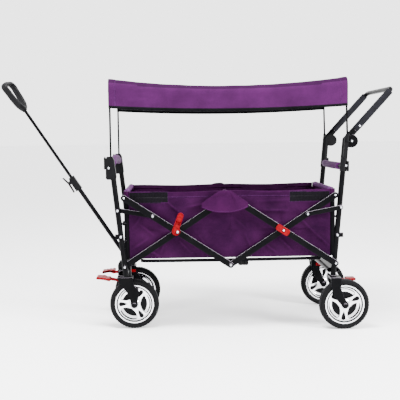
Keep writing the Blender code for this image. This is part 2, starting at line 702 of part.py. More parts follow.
def latch(side):
    near, far = spread(side, LATCH_FACE, LATCH_BACK)
    hub = plate(arc(LATCH_HUB, 0.017, 0, 337.5, 15), near, far)
    arm = plate(slot_outline(FRONT_CROSSING, LATCH_TIP, 0.020), near, far)
    hole = cross_rod(*FRONT_CROSSING, near - 0.01, far + 0.01, HOLE, 16)
    middle = (FRONT_CROSSING[0] + 0.010, CROSSING_Z + 0.042)
    upper = (FRONT_CROSSING[0] + 0.015, CROSSING_Z + 0.060)
    groove = plate(slot_outline(middle, upper, 0.008, 4), *spread(side, LATCH_BACK - 0.003, LATCH_BACK + 0.01))
    return cut(add(hub, arm), hole, groove)


def crossing_block(side):
    """Cover over the rear crossing, moulded onto the bar."""
    x, z = REAR_CROSSING
    dx, dz = 0.012 * math.cos(OPEN_ANGLE), -0.012 * math.sin(OPEN_ANGLE)
    near, far = spread(side, OUTER_BACK - WELD, OUTER_BACK + 0.008)
    cover = plate(slot_outline((x - 1.5 * dx, z - 1.5 * dz), (x + dx, z + dz), 0.026), near, far)
    rivet = cross_rod(x, z, *spread(side, OUTER_BACK + 0.006, OUTER_BACK + 0.010), 0.006, 12)
    return [cover, rivet]


def rear_bar(side):
    strip = plate(slot_outline(TOP_CENTRE, REAR_PIVOT, BAR_WIDTH), *spread(side, *OUTER_LAYER))
    pins = crossing_pin(TOP_CENTRE, side, INNER_HEAD, OUTER_HEAD)
    pins += crossing_pin(REAR_CROSSING, side, INNER_HEAD, OUTER_BACK - 0.001, outer_head=False)
    hole = cross_rod(*REAR_PIVOT, *spread(side, OUTER_FACE - 0.01, OUTER_BACK + 0.01), HOLE, 12)
    return cut(add(strip, *pins, *crossing_block(side)), hole)


pair(rear_bar, "rear_bar", BLACK_STEEL, "rear_bars")
for label, side in SIDES.items():
    node(latch(side), "latch_lever_" + label, RED_PLASTIC, "latch_" + label)

# Wheels, caster forks and brake pedals

TYRE_INNER = WHEEL_RADIUS - TYRE_HEIGHT
TYRE_SECTION = [(TYRE_INNER, -0.017), (WHEEL_RADIUS - 0.012, -TYRE_WIDTH / 2), (WHEEL_RADIUS - 0.004, -0.019),
                (WHEEL_RADIUS, -0.009), (WHEEL_RADIUS, 0.009), (WHEEL_RADIUS - 0.004, 0.019),
                (WHEEL_RADIUS - 0.012, TYRE_WIDTH / 2), (TYRE_INNER, 0.017)]
RIM_RADIUS = TYRE_INNER - GAP
BORE = AXLE + RUNNING_GAP


def tyre(centre):
    return turned(TYRE_SECTION, centre, 28)


def rim(centre):
    """Barrel with outer lips, dished disc and hub."""
    lip = RIM_RADIUS - RIM_LIP
    half = [(BORE, 0.021), (HUB_RADIUS, 0.021), (HUB_RADIUS + 0.004, WEB_HALF + 0.003), (lip, WEB_HALF),
            (lip + 0.001, 0.0185), (RIM_RADIUS, 0.0175)]
    section = half + [(r, -y) for r, y in half[::-1]]
    return turned(section, centre, 28)


WHEELS = {}
for label, side in SIDES.items():
    WHEELS["front_" + label] = ("front_wheel_" + label, (FRONT_AXLE_X, side * FRONT_TRACK / 2, WHEEL_RADIUS))
    WHEELS["rear_" + label] = ("rear_wheel_" + label, (REAR_AXLE_X, side * REAR_TRACK / 2, WHEEL_RADIUS))
for label, (carrier, centre) in WHEELS.items():
    node(tyre(centre), "tyre_" + label, TYRE_RUBBER, carrier)
    node(rim(centre), "rim_" + label, CHROMED_PLASTIC, carrier)


def caster_fork(side):
    y = side * FRONT_TRACK / 2
    crown = block((SWIVEL_X - 0.030, y - FORK_OUT, CROWN_BOTTOM), (SWIVEL_X + 0.033, y + FORK_OUT, CROWN_TOP))
    stem = rod((SWIVEL_X, y, CROWN_TOP - 0.002), (SWIVEL_X, y, HOUSING_TOP - 0.010), STEM, 16)
    pin = cross_rod(*PEDAL_PIVOT, *spread(side, FRONT_TRACK / 2 - FORK_OUT - 0.007,
                                          FRONT_TRACK / 2 - FORK_HALF - 0.001), 0.003, 10)
    return add(crown, stem, *fork_legs(FRONT_LEG, y), *axle(FRONT_AXLE_X, y), pin)


def turn(point, pivot, angle):
    """Point turned about a pivot in the x-z plane, from +X towards +Z."""
    dx, dz = point[0] - pivot[0], point[1] - pivot[1]
    c, s = math.cos(angle), math.sin(angle)
    return pivot[0] + c * dx - s * dz, pivot[1] + s * dx + c * dz


def caster_pedal(side, lift):
    """Rocker on the fork's inner side with a paddle in front of the tyre."""
    px, pz = PEDAL_PIVOT
    y = FRONT_TRACK / 2
    spine = [(px + 0.044, pz - 0.001), (px - 0.055, pz - 0.006), (px - 0.072, pz - 0.002), (px - 0.101, pz - 0.008)]
    upper = [(x, z + 0.006) for x, z in spine]
    lower = [(x, z - (0.006 if i < 2 else 0.004)) for i, (x, z) in enumerate(spine)]
    outline = [turn(point, PEDAL_PIVOT, -lift) for point in upper + lower[::-1]]
    arm_out = y - FORK_OUT - GAP
    arm = plate(outline, *spread(side, arm_out - 0.006, arm_out))
    foot = [(px - 0.0735, pz + 0.0035), (px - 0.103, pz - 0.0025), (px - 0.104, pz - 0.0115), (px - 0.0735, pz - 0.0055)]
    paddle = plate([turn(point, PEDAL_PIVOT, -lift) for point in foot],
                   *spread(side, arm_out - 0.006, y + 0.024))
    hole = cross_rod(px, pz, *spread(side, arm_out - 0.02, arm_out + 0.001), 0.003 + PIN_GAP, 12)
    return cut(add(arm, paddle), hole)


PEDAL_LIFT = {"left": math.radians(15.0), "right": 0.0}


def rear_pedal(side):
    """Rocker on the inner fork plate with a paddle towards the wagon's middle."""
    px, pz = REAR_PEDAL_PIVOT
    arm_out = REAR_TRACK / 2 - FORK_OUT - GAP
    arm = plate([(px - 0.008, pz + 0.006), (px - 0.008, pz - 0.006), (px + 0.080, pz - 0.002), (px + 0.083, pz + 0.006)],
                *spread(side, arm_out - 0.007, arm_out))
    paddle = plate([(px + 0.046, pz + 0.0065), (px + 0.046, pz - 0.0015), (px + 0.082, pz - 0.0015),
                    (px + 0.082, pz + 0.0065)], *spread(side, arm_out - 0.050, arm_out))
    hole = cross_rod(px, pz, *spread(side, arm_out - 0.02, arm_out + 0.001), 0.003 + PIN_GAP, 12)
    return cut(add(arm, paddle), hole)


for label, side in SIDES.items():
    node(caster_fork(side), "caster_fork_" + label, BLACK_STEEL, "caster_" + label)
    node(caster_pedal(side, PEDAL_LIFT[label]), "caster_pedal_" + label, RED_PLASTIC, "caster_pedal_" + label)
    node(rear_pedal(side), "rear_pedal_" + label, RED_PLASTIC, "rear_pedal_" + label)

# Push handle: fixed knuckles, moving hubs, bent tube and foam

EAR = HUB_DISC
EAR_CLEAR = EAR + RUNNING_GAP
HINGE = (HANDLE_PIVOT_X, HANDLE_PIVOT_Z)
FIXED_EAR = (EAR_SPLIT - EAR_THICKNESS, EAR_SPLIT - GAP)
MOVING_EAR = (EAR_SPLIT + GAP, EAR_SPLIT + EAR_THICKNESS)
BOLT = 0.005
REAR_BOW_X = REAR_PIVOT_X + 0.0445
BOW_CUP = HANDLE_PIVOT_Z + 0.028
REAR_GRAB_Z = PIVOT_Z + REAR_GRAB_HEIGHT


def mitre_point(shift, y):
    base = MITRE + MITRE_NORMAL * shift
    return base.x, y, base.y


def rear_catch(side):
    """Catch body on the back of the rear sleeve, beside the grab bar."""
    face = rear_post_x(REAR_GRAB_Z) + SLEEVE / 2 + 0.0005
    shell = block((face, min(side * 0.194, side * 0.218), REAR_GRAB_Z - 0.020),
                  (face + 0.007, max(side * 0.194, side * 0.218), REAR_GRAB_Z + 0.021))
    rivet = cross_rod(face + 0.0035, REAR_GRAB_Z + 0.002, *spread(side, 0.216, 0.221), 0.003, 8)
    pad = block((face - 0.0012, min(side * 0.1995, side * 0.2115), REAR_GRAB_Z - 0.004),
                (face + 0.001, max(side * 0.1995, side * 0.2115), REAR_GRAB_Z + 0.017))
    return [shell, rivet, pad]


def knuckle(side):
    y = side * REAR_POST_OUT
    low = (rear_post_x(REAR_SLEEVE_LOW), y, REAR_SLEEVE_LOW)
    normal = (MITRE_NORMAL.x, 0, MITRE_NORMAL.y)
    sleeve = rod(low, mitre_point(-GAP, y), SLEEVE / 2, 16, end_cut=normal)
    sweep = cross_rod(*HINGE, *spread(side, EAR_SPLIT - GAP, EAR_SPLIT + 0.03), EAR_CLEAR, 24)
    bore = rod((rear_post_x(REAR_SLEEVE_LOW - 0.01), y, REAR_SLEEVE_LOW - 0.01),
               (rear_post_x(REAR_TUBE_TOP + GAP), y, REAR_TUBE_TOP + GAP), TUBE / 2 + GAP, 12)
    ear = cross_rod(*HINGE, *spread(side, *FIXED_EAR), EAR, 24)
    bolt = cross_rod(*HINGE, *spread(side, EAR_SPLIT - 0.004, EAR_SPLIT + EAR_THICKNESS + 0.001), BOLT, 12)
    head = cross_rod(*HINGE, *spread(side, EAR_SPLIT + EAR_THICKNESS + GAP, EAR_SPLIT + EAR_THICKNESS + 0.0038),
                     0.009, 16)
    outer_face = REAR_POST_OUT + SLEEVE / 2 + GAP
    strip = plate(slot_outline((rear_post_x(PIVOT_Z + 0.425), PIVOT_Z + 0.425), (REAR_BOW_X, BOW_CUP - 0.012),
                               0.016, 4), *spread(side, outer_face, outer_face + 0.012))
    stub = cross_rod(rear_post_x(PIVOT_Z + 0.425), PIVOT_Z + 0.425, *spread(side, outer_face - 0.0022,
                                                                    outer_face + 0.002), 0.007, 10)
    cup = rod((REAR_BOW_X, side * BOW_HALF_WIDTH, BOW_CUP - 0.030), (REAR_BOW_X, side * BOW_HALF_WIDTH, BOW_CUP),
              0.0065, 12)
    socket = rod((REAR_BOW_X, side * BOW_HALF_WIDTH, BOW_CUP - 0.012),
                 (REAR_BOW_X, side * BOW_HALF_WIDTH, BOW_CUP + 0.01), BOW / 2 + 2 * GAP, 12)
    sleeve = add(cut(sleeve, sweep, bore), ear, bolt, head, strip, stub, cup, *rear_catch(side))
    return cut(sleeve, socket)


def leg_point(along):
    return LEG_START + LEG_HEADING * along


def handle_hub(side):
    y = side * REAR_POST_OUT
    normal = (MITRE_NORMAL.x, 0, MITRE_NORMAL.y)
    tip = leg_point(0.042)
    sleeve = rod(mitre_point(GAP, y), (tip.x, y, tip.y), SLEEVE / 2, 16, start_cut=normal)
    sweep = cross_rod(*HINGE, *spread(side, EAR_SPLIT - 0.03, EAR_SPLIT + GAP), EAR_CLEAR, 24)
    ear = cross_rod(*HINGE, *spread(side, *MOVING_EAR), EAR, 24)
    hole = cross_rod(*HINGE, *spread(side, EAR_SPLIT - 0.01, EAR_SPLIT + 0.03), BOLT + PIN_GAP, 16)
    return cut(add(cut(sleeve, sweep), ear), hole)


def handle_path(first, corner):
    start, top = leg_point(first), leg_point(HANDLE_LENGTH)
    corners = [(start.x, -REAR_POST_OUT, start.y), (top.x, -REAR_POST_OUT, top.y),
               (top.x, REAR_POST_OUT, top.y), (start.x, REAR_POST_OUT, start.y)]
    return round_path(corners, corner, 3)


HANDLE_ACROSS = (-LEG_HEADING.y, 0, LEG_HEADING.x)
FOAM_BORE = HANDLE_TUBE / 2 + GAP


def handle_foam(side):
    y = side * REAR_POST_OUT
    first, last = leg_point(0.0425), leg_point(HANDLE_LENGTH - 0.030)
    path = [(first.x, y, first.y), (last.x, y, last.y)]
    return pipe(path, (0, 1, 0), HANDLE_GRIP / 2, FOAM_BORE + 0.0003, 14)


pair(knuckle, "handle_knuckle", BLACK_PLASTIC, "rear_frame")
handle_tube = pipe(handle_path(0.0268, 0.030), HANDLE_ACROSS, HANDLE_TUBE / 2, HANDLE_TUBE / 2 - TUBE_WALL)
top = leg_point(HANDLE_LENGTH)
vent_heading = Vector((LEG_HEADING.y, 0, -LEG_HEADING.x))
vent = rod((top.x, 0, top.y), Vector((top.x, 0, top.y)) + 0.02 * vent_heading, 0.0025, 8)
handle = add(handle_tube, *(handle_hub(side) for side in SIDES.values()))
node(cut(handle, vent), "push_handle", BLACK_STEEL, "push_handle")
pair(handle_foam, "push_handle_foam", FOAM, "push_handle")

# Grab bars at the front and the rear

STATIONS = [-1.0, -0.82, -0.5, 0.0, 0.5, 0.82, 1.0]
CLAMP_IN = FRONT_POST_OUT - 0.0165
GRAB_END = 0.0018
GRAB_X = front_post_x(PIVOT_Z + GRAB_HEIGHT) - 0.002


def arch_path(half, x, z, rise_x, rise_z, stations):
    return [(x + rise_x * (1 - s * s), half * s, z + rise_z * (1 - s * s)) for s in stations]


front_grab = arch_path(CLAMP_IN - GRAB_END, GRAB_X, PIVOT_Z + GRAB_HEIGHT, 0, GRAB_RISE - 0.010, STATIONS)
node(pipe(front_grab, (1, 0, 0), GRAB_TUBE / 2, GRAB_TUBE / 2 - TUBE_WALL), "front_grab_tube", BLACK_STEEL,
     "front_frame")
node(pipe(front_grab[1:-1], (1, 0, 0), GRAB_FOAM / 2, GRAB_TUBE / 2 + GAP), "front_grab_foam", PURPLE_FOAM,
     "front_frame")
REAR_GRAB_X = rear_post_x(REAR_GRAB_Z) - 0.001
rear_grab = arch_path(REAR_POST_OUT - SLEEVE / 2 - GRAB_END / 2, REAR_GRAB_X, REAR_GRAB_Z, -0.011, 0, STATIONS)
rear_tube = pipe(rear_grab, (0, 0, 1), GRAB_TUBE / 2, GRAB_TUBE / 2 - TUBE_WALL)
node(rear_tube, "rear_grab_tube", BLACK_STEEL, "rear_frame")
node(pipe(rear_grab[1:-1], (0, 0, 1), GRAB_FOAM / 2, GRAB_TUBE / 2 + GAP), "rear_grab_foam", PURPLE_FOAM,
     "rear_frame")


# Canopy: clamps with levers, bows and fabric cover

CLAMP_LOW, CLAMP_HIGH = PIVOT_Z + 0.345, PIVOT_Z + 0.435
FRONT_BOW_X = FRONT_PIVOT_X - 0.047
BOW_SEAT = FRONT_POST_TOP + 0.003


def bow_clamp(side):
    lx, lz = CLAMP_LEVER_PIVOT
    near, far = spread(side, CLAMP_IN, FRONT_POST_OUT + 0.0125)
    outline = [(lx - 0.004, CLAMP_LOW + 0.006), (lx + 0.002, CLAMP_LOW), (lx + 0.034, CLAMP_LOW),
               (lx + 0.037, CLAMP_LOW + 0.010), (lx + 0.029, CLAMP_HIGH - 0.012), (lx + 0.022, CLAMP_HIGH),
               (lx + 0.002, CLAMP_HIGH), (lx - 0.004, CLAMP_HIGH - 0.008)]
    shell = plate(outline, near, far)
    bore = rod((front_post_x(CLAMP_LOW - 0.01), side * FRONT_POST_OUT, CLAMP_LOW - 0.01),
               (front_post_x(FRONT_POST_TOP + GAP), side * FRONT_POST_OUT, FRONT_POST_TOP + GAP),
               TUBE / 2 + GAP, 12)
    socket = rod((FRONT_BOW_X, side * BOW_HALF_WIDTH, BOW_SEAT),
                 (FRONT_BOW_X, side * BOW_HALF_WIDTH, CLAMP_HIGH + 0.01), BOW / 2 + GAP, 12)
    notch = block((lx - 0.02, min(side * 0.2285, side * 0.2485), CLAMP_HIGH - 0.060),
                  (lx + 0.0062, max(side * 0.2285, side * 0.2485), CLAMP_HIGH + 0.02))
    pin = cross_rod(lx, lz, *spread(side, 0.2260, 0.2536), 0.0022, 8)
    return add(cut(shell, bore, socket, notch), pin)


def clamp_lever(side):
    lx, lz = CLAMP_LEVER_PIVOT
    near, far = spread(side, 0.2290, 0.2480)
    blade = plate([(lx - 0.0105, lz - 0.004), (lx - 0.0045, lz - 0.0045), (lx - 0.0045, lz + 0.042),
                   (lx - 0.0075, lz + 0.045), (lx - 0.0105, lz + 0.040)], near, far)
    hub = cross_rod(lx, lz, near, far, 0.0052, 14)
    hole = cross_rod(lx, lz, near - 0.01, far + 0.01, 0.0022 + PIN_GAP, 12)
    return cut(add(blade, hub), hole)


pair(bow_clamp, "bow_clamp", BLACK_PLASTIC, "front_frame")
for label, side in SIDES.items():
    node(clamp_lever(side), "clamp_lever_" + label, BLACK_PLASTIC, "canopy_lever_" + label)

COVER_TOP = PIVOT_Z + CANOPY_TOP
BOW_TOP = COVER_TOP - CANOPY_SHEET - 0.0016 - BOW / 2


def bow(x, top_x, foot):
    lean = (top_x - x) / (BOW_TOP - foot)
    corners = [(x, -BOW_HALF_WIDTH, foot), (top_x, -BOW_HALF_WIDTH, BOW_TOP),
               (top_x, BOW_HALF_WIDTH, BOW_TOP), (x, BOW_HALF_WIDTH, foot)]
    return bent_rod(round_path(corners, 0.035, 3), (1, 0, -lean), BOW / 2, 8)


node(bow(FRONT_BOW_X, FRONT_BOW_X, BOW_SEAT + GAP), "front_bow", BLACK_STEEL, "front_frame")


REAR_FOOT = BOW_CUP - 0.012 + GAP
rear_bow = bow(REAR_BOW_X, REAR_BOW_X - 0.006, REAR_FOOT)
node(rear_bow, "rear_bow", BLACK_STEEL, "rear_frame")


def canopy_ring(x, s, grow, lift):
    """Cross-section of the cover; s runs from 0 at the front to 1 at the rear."""
    sag = CANOPY_SAG * 4 * s * (1 - s)
    top = COVER_TOP - sag + lift
    low = COVER_TOP - CANOPY_DROP - 0.5 * sag
    half = CANOPY_HALF_WIDTH + grow - 0.006 * 4 * s * (1 - s)
    radius = 0.035 + grow
    right = [(half, low)] + arc((half - radius, top - radius), radius, 0, 90, 4)
    left = [(-y, z) for y, z in right[::-1]]
    return [(x, y, z) for y, z in right + left]


def canopy():
    front, rear = FRONT_BOW_X - 0.005, REAR_BOW_X + 0.001
    rings = []
    for i in range(9):
        s = i / 8
        x = front + (rear - front) * s
        outside = canopy_ring(x, s, 0, 0)
        inside = canopy_ring(x, s, -CANOPY_SHEET, -CANOPY_SHEET)
        rings.append(outside + inside[::-1])
    return rings_solid(rings)


node(canopy(), "canopy", CANOPY_FABRIC, "front_frame")

# Pull bar: bracket, outer tube, sliding tube, clamp with flip lever, loop grip

def tube_point(along, aside=0.0, y=0.0):
    x, z = pull_point(along, aside)
    return x, y, z


def bar_plate(points, near, far):
    """Plate whose outline is given along and below the pull bar."""
    return plate([pull_point(along, aside) for along, aside in points], near, far)


EAR_NEAR = PULL_OUTER / 2 + RUNNING_GAP
px, pz = PULL_PIVOT
base = block((px - 0.018, -EAR_NEAR - 0.004, BEAM_TOP + GAP), (px + 0.011, EAR_NEAR + 0.004, BEAM_TOP + 0.0043))
ears = []
for side in SIDES.values():
    outline = [(px - 0.014, BEAM_TOP + 0.002), (px + 0.010, BEAM_TOP + 0.002)] + arc((px, pz), 0.009, 0, 180, 8)
    ears.append(plate(outline, *spread(side, EAR_NEAR, EAR_NEAR + 0.004)))
ears.append(cross_rod(px, pz, -EAR_NEAR - 0.0055, EAR_NEAR + 0.0055, 0.003, 10))
node(add(base, *ears), "pull_bracket", BLACK_STEEL, "front_frame")

outer_tube = pipe([tube_point(-0.008), tube_point(PULL_OUTER_LENGTH)], (0, 1, 0), PULL_OUTER / 2,
                  PULL_INNER / 2 + RUNNING_GAP, 14)
hole = cross_rod(px, pz, -0.02, 0.02, 0.003 + PIN_GAP, 12)
node(cut(outer_tube, hole), "pull_outer_tube", BLACK_STEEL, "pull_bar")

CLAMP_START, CLAMP_END = PULL_OUTER_LENGTH - 0.025, PULL_OUTER_LENGTH + 0.038
shell = bar_plate([(CLAMP_START, -0.0115), (CLAMP_END, -0.0115), (CLAMP_END, 0.010), (CLAMP_END - 0.012, 0.0145),
                   (CLAMP_START, 0.0145)], -0.0135, 0.0135)
lugs = [bar_plate([(GRIP_LEVER_AT - 0.009, 0.010), (GRIP_LEVER_AT + 0.009, 0.010)]
                  + [(GRIP_LEVER_AT + 0.006 * math.cos(a), GRIP_LEVER_ASIDE + 0.006 * math.sin(a))
                     for a in (0, math.pi / 4, math.pi / 2, 3 * math.pi / 4, math.pi)],
                  *spread(side, 0.0095, 0.0135)) for side in SIDES.values()]
lever_pin = cross_rod(*GRIP_LEVER_PIVOT, -0.0115, 0.0115, 0.002, 8)
clamp_bore = rod(tube_point(CLAMP_START - 0.01), tube_point(PULL_OUTER_LENGTH + GAP), PULL_OUTER / 2 + GAP, 14)
slide_bore = rod(tube_point(PULL_OUTER_LENGTH - 0.01), tube_point(CLAMP_END + 0.01),
                 PULL_INNER / 2 + RUNNING_GAP, 12)
node(cut(add(shell, *lugs, lever_pin), clamp_bore, slide_bore), "pull_clamp", BLACK_PLASTIC, "pull_bar")

lever = bar_plate([(GRIP_LEVER_AT + 0.006, 0.0215), (GRIP_LEVER_AT + 0.033, 0.0285), (GRIP_LEVER_AT + 0.034, 0.0335),
                   (GRIP_LEVER_AT, 0.0265), (CLAMP_START + 0.002, 0.0285), (CLAMP_START + 0.002, 0.0235),
                   (GRIP_LEVER_AT - 0.010, 0.0205)], -0.0088, 0.0088)
lever_hub = cross_rod(*GRIP_LEVER_PIVOT, -0.0088, 0.0088, 0.0045, 12)
lever_hole = cross_rod(*GRIP_LEVER_PIVOT, -0.02, 0.02, 0.002 + PIN_GAP, 12)
node(cut(add(lever, lever_hub), lever_hole), "pull_clamp_lever", BLACK_PLASTIC, "pull_lever")

INNER_LOW = PULL_OUTER_LENGTH - PULL_OVERLAP
INNER_HIGH = PULL_REACH + 0.020
node(pipe([tube_point(INNER_LOW), tube_point(INNER_HIGH)], (0, 1, 0), PULL_INNER / 2, PULL_INNER / 2 - 0.001),
     "pull_inner_tube", BLACK_STEEL, "pull_slider")


def loop_grip():
    """Closed loop: a neck on the tube, two side arms and a cross grip."""
    top = GRIP_LENGTH - GRIP_BAR / 2
    half = [(0.010, 0.0), (0.016, 0.016), (0.034, 0.034), (0.062, 0.043), (0.095, GRIP_HALF_WIDTH - 0.004),
            (top - 0.018, GRIP_HALF_WIDTH), (top - 0.005, GRIP_HALF_WIDTH - 0.010), (top, GRIP_HALF_WIDTH - 0.028),
            (top, 0.0)]
    points = half + [(along, -y) for along, y in half[-2:0:-1]]
    count = len(points)
    rings = []
    for i, (along, y) in enumerate(points):
        before, after = points[i - 1], points[(i + 1) % count]
        heading = Vector((after[0] - before[0], after[1] - before[1])).normalized()
        ring = []
        for k in range(10):
            angle = 2 * math.pi * (k + 0.5) / 10
            flat = GRIP_BAR / 2 * math.cos(angle)
            ring.append(tube_point(PULL_REACH + along + flat * -heading.y, GRIP_DEPTH / 2 * math.sin(angle) - 0.001,
                                   y + flat * heading.x))
        rings.append(ring)
    return rings_solid(rings, loop=True)


neck = rod(tube_point(PULL_REACH), tube_point(PULL_REACH + 0.034), 0.0105, 12)
grip_bore = rod(tube_point(PULL_REACH - 0.01), tube_point(INNER_HIGH + GAP), PULL_INNER / 2 + GAP, 12)
node(cut(add(loop_grip(), neck), grip_bore), "pull_grip", BLACK_PLASTIC, "pull_slider")

# Fabric tub

SIDE_IN = TUB_HALF_WIDTH - FABRIC
PANEL_GAP = CORNER_POST / 2 + GAP
FLAP_FACE = OUTER_HEAD + 0.001
FLAP = [(-0.1145, 0.0), (-0.1145, -0.050), (-0.104, -0.066), (-0.078, -0.080), (-0.028, -0.087), (0.022, -0.079),
        (0.060, -0.066), (0.0707, -0.050), (0.0707, 0.0)]


def tub_side(side):
    near, far = spread(side, SIDE_IN, TUB_HALF_WIDTH)
    wall = block((FRONT_CORNER_X + PANEL_GAP, near, FLOOR_Z), (REAR_CORNER_X - PANEL_GAP, far, RIM_Z))
    near, far = spread(side, FLAP_FACE, FLAP_FACE + 0.002)
    flap = plate([(CENTRE_X + x, RIM_Z + z) for x, z in FLAP], near, far)
    near, far = spread(side, SIDE_IN + 0.001, FLAP_FACE + 0.001)
    bridge = block((CENTRE_X - 0.1145, near, RIM_Z - 0.003), (CENTRE_X + 0.0707, far, RIM_Z))
    return add(wall, flap, bridge)


END_IN = CORNER_POST_OUT - PANEL_GAP
node(block((FRONT_CORNER_X - 0.0015, -END_IN, FLOOR_Z), (FRONT_CORNER_X + 0.0015, END_IN, RIM_Z)),
     "tub_front_panel", TUB_FABRIC, "front_frame")
REAR_END_IN = REAR_POST_OUT - TUBE / 2 - GAP
node(block((REAR_CORNER_X - 0.0015, -REAR_END_IN, FLOOR_Z), (REAR_CORNER_X + 0.0015, REAR_END_IN, RIM_Z)),
     "tub_rear_panel", TUB_FABRIC, "rear_frame")
pair(tub_side, "tub_side", TUB_FABRIC, "front_frame")
FLOOR_FRONT = FRONT_CORNER_X + PANEL_GAP
FLOOR_REAR = REAR_CORNER_X - 0.0015 - GAP


def strap(side):
    """Webbing strap hung under the floor, with a buckle."""
    front, rear = CENTRE_X - 0.357, CENTRE_X + 0.363
    top, mid, low = FLOOR_Z + WELD, FLOOR_Z - 0.007, FLOOR_Z - 0.0105
    outline = [(front, top), (front, low), (rear, low), (rear, top), (rear - 0.012, top), (rear - 0.012, mid),
               (front + 0.012, mid), (front + 0.012, top)]
    band = plate(outline, *spread(side, 0.176, 0.206))
    buckle = block((CENTRE_X + 0.032, min(side * 0.184, side * 0.204), FLOOR_Z - 0.034),
                   (CENTRE_X + 0.073, max(side * 0.184, side * 0.204), low + 0.001))
    return [band, buckle]


floor = block((FLOOR_FRONT, -SIDE_IN + GAP, FLOOR_Z), (FLOOR_REAR, SIDE_IN - GAP, FLOOR_Z + 0.006))
node(add(floor, *strap(-1), *strap(1)), "tub_floor", TUB_FABRIC, "front_frame")

# The wagon stands centred over its box

bpy.context.view_layer.update()
low, high = math.inf, -math.inf
for piece in bpy.data.objects:
    if piece.type == "MESH":
        for vertex in piece.data.vertices:
            x = (piece.matrix_world @ vertex.co).x
            low, high = min(low, x), max(high, x)
BODIES["front_frame"][0].location.x = -(low + high) / 2
bpy.context.view_layer.update()
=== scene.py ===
import json
import math

import bpy
import numpy as np
from mathutils import Matrix, Vector, noise


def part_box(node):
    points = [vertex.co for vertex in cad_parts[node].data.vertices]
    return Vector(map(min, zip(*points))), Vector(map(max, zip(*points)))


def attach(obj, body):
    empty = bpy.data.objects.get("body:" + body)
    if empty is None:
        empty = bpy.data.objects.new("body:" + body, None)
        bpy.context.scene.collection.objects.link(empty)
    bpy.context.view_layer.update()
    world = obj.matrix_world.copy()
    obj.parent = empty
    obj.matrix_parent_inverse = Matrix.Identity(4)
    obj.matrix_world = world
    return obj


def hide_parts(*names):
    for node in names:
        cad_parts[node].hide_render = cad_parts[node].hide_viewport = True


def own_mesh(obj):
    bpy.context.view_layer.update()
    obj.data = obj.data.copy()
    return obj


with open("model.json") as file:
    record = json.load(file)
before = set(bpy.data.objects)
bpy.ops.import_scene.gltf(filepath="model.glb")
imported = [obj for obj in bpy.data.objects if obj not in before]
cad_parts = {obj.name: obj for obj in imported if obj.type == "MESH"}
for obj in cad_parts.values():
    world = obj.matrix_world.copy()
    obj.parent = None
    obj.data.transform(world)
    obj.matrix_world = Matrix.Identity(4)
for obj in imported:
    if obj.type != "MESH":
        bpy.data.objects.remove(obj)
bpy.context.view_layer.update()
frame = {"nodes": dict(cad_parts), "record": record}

# Photo studio: a wide pale floor under a white surround, lit by a soft box in front at the
# right, a weaker upright strip at the left and a wide box above. The camera stands a little
# under the canopy and 3.3 m away, square to the wagon's side.

# Wagon lengths start between the axles, 420 mm behind the front one
tyre_low, tyre_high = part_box("tyre_front_left")
ORIGIN_X = (tyre_low.x + tyre_high.x) / 2 + 0.420


def linear(code, alpha=1.0):
    """Linear colour of an sRGB hex code."""
    shares = [int(code[i:i + 2], 16) / 255 for i in (1, 3, 5)]
    return [c / 12.92 if c <= 0.04045 else ((c + 0.055) / 1.055) ** 2.4 for c in shares] + [alpha]


def feed(tree, node, inputs):
    """Fills a node's inputs with numbers and colours, or links them to nodes or their outputs."""
    for key, value in inputs.items():
        if isinstance(value, bpy.types.Node):
            value = next(out for out in value.outputs if out.enabled)
        if isinstance(value, bpy.types.NodeSocket):
            tree.links.new(value, node.inputs[key])
        else:
            node.inputs[key].default_value = value


def new_finish(name, values):
    """A material; values go on its shader's own sockets."""
    finish = bpy.data.materials.new(name)
    finish.use_nodes = True
    shader = finish.node_tree.nodes["Principled BSDF"]
    feed(finish.node_tree, shader, values)
    return finish, finish.node_tree, shader


def put(name, data):
    """Object in the scene."""
    made = bpy.data.objects.new(name, data)
    bpy.context.scene.collection.objects.link(made)
    return made


def object_from(name, points, faces, finishes, smooth=True, uvs=None, finish_of=None):
    """Mesh object from points and faces, with UVs in metres where they are given."""
    mesh = bpy.data.meshes.new(name)
    mesh.from_pydata([tuple(p) for p in points], [], faces)
    for finish in finishes:
        mesh.materials.append(finish)
    if finish_of is not None:
        mesh.polygons.foreach_set("material_index", finish_of)
    if uvs is not None:
        layer = mesh.uv_layers.new(name="cut")
        for loop in mesh.loops:
            layer.data[loop.index].uv = uvs[loop.vertex_index]
    mesh.polygons.foreach_set("use_smooth", [smooth] * len(mesh.polygons))
    mesh.update()
    return put(name, mesh)


floor_paint = new_finish("white_studio_vinyl", {"Roughness": 0.6, "Base Color": linear("#f4f4f5")})[0]
floor = object_from("studio_floor", [(-60, -60, 0), (60, -60, 0), (60, 60, 0), (-60, 60, 0)], [(0, 1, 2, 3)],
                    [floor_paint])

world = bpy.data.worlds.new("white_surround")
bpy.context.scene.world = world
world.use_nodes = True
feed(world.node_tree, world.node_tree.nodes["Background"], {"Color": linear("#ffffff"), "Strength": 3.3})


def soft_box(name, place, aim, size, power):
    lamp = bpy.data.lights.new(name, "AREA")
    lamp.shape, lamp.size, lamp.size_y, lamp.energy = "RECTANGLE", size[0], size[1], power
    made = put(name, lamp)
    made.location = place
    made.rotation_euler = (Vector(aim) - Vector(place)).to_track_quat("-Z", "Y").to_euler()


soft_box("key_box", (3.1, -2.4, 2.0), (0, 0, 0.5), (1.1, 1.3), 420)
soft_box("fill_box", (-2.8, -1.6, 1.6), (0, 0, 0.5), (0.5, 1.8), 80)
soft_box("top_box", (-0.5, -0.9, 3.0), (0, 0, 0.4), (1.6, 0.5), 260)

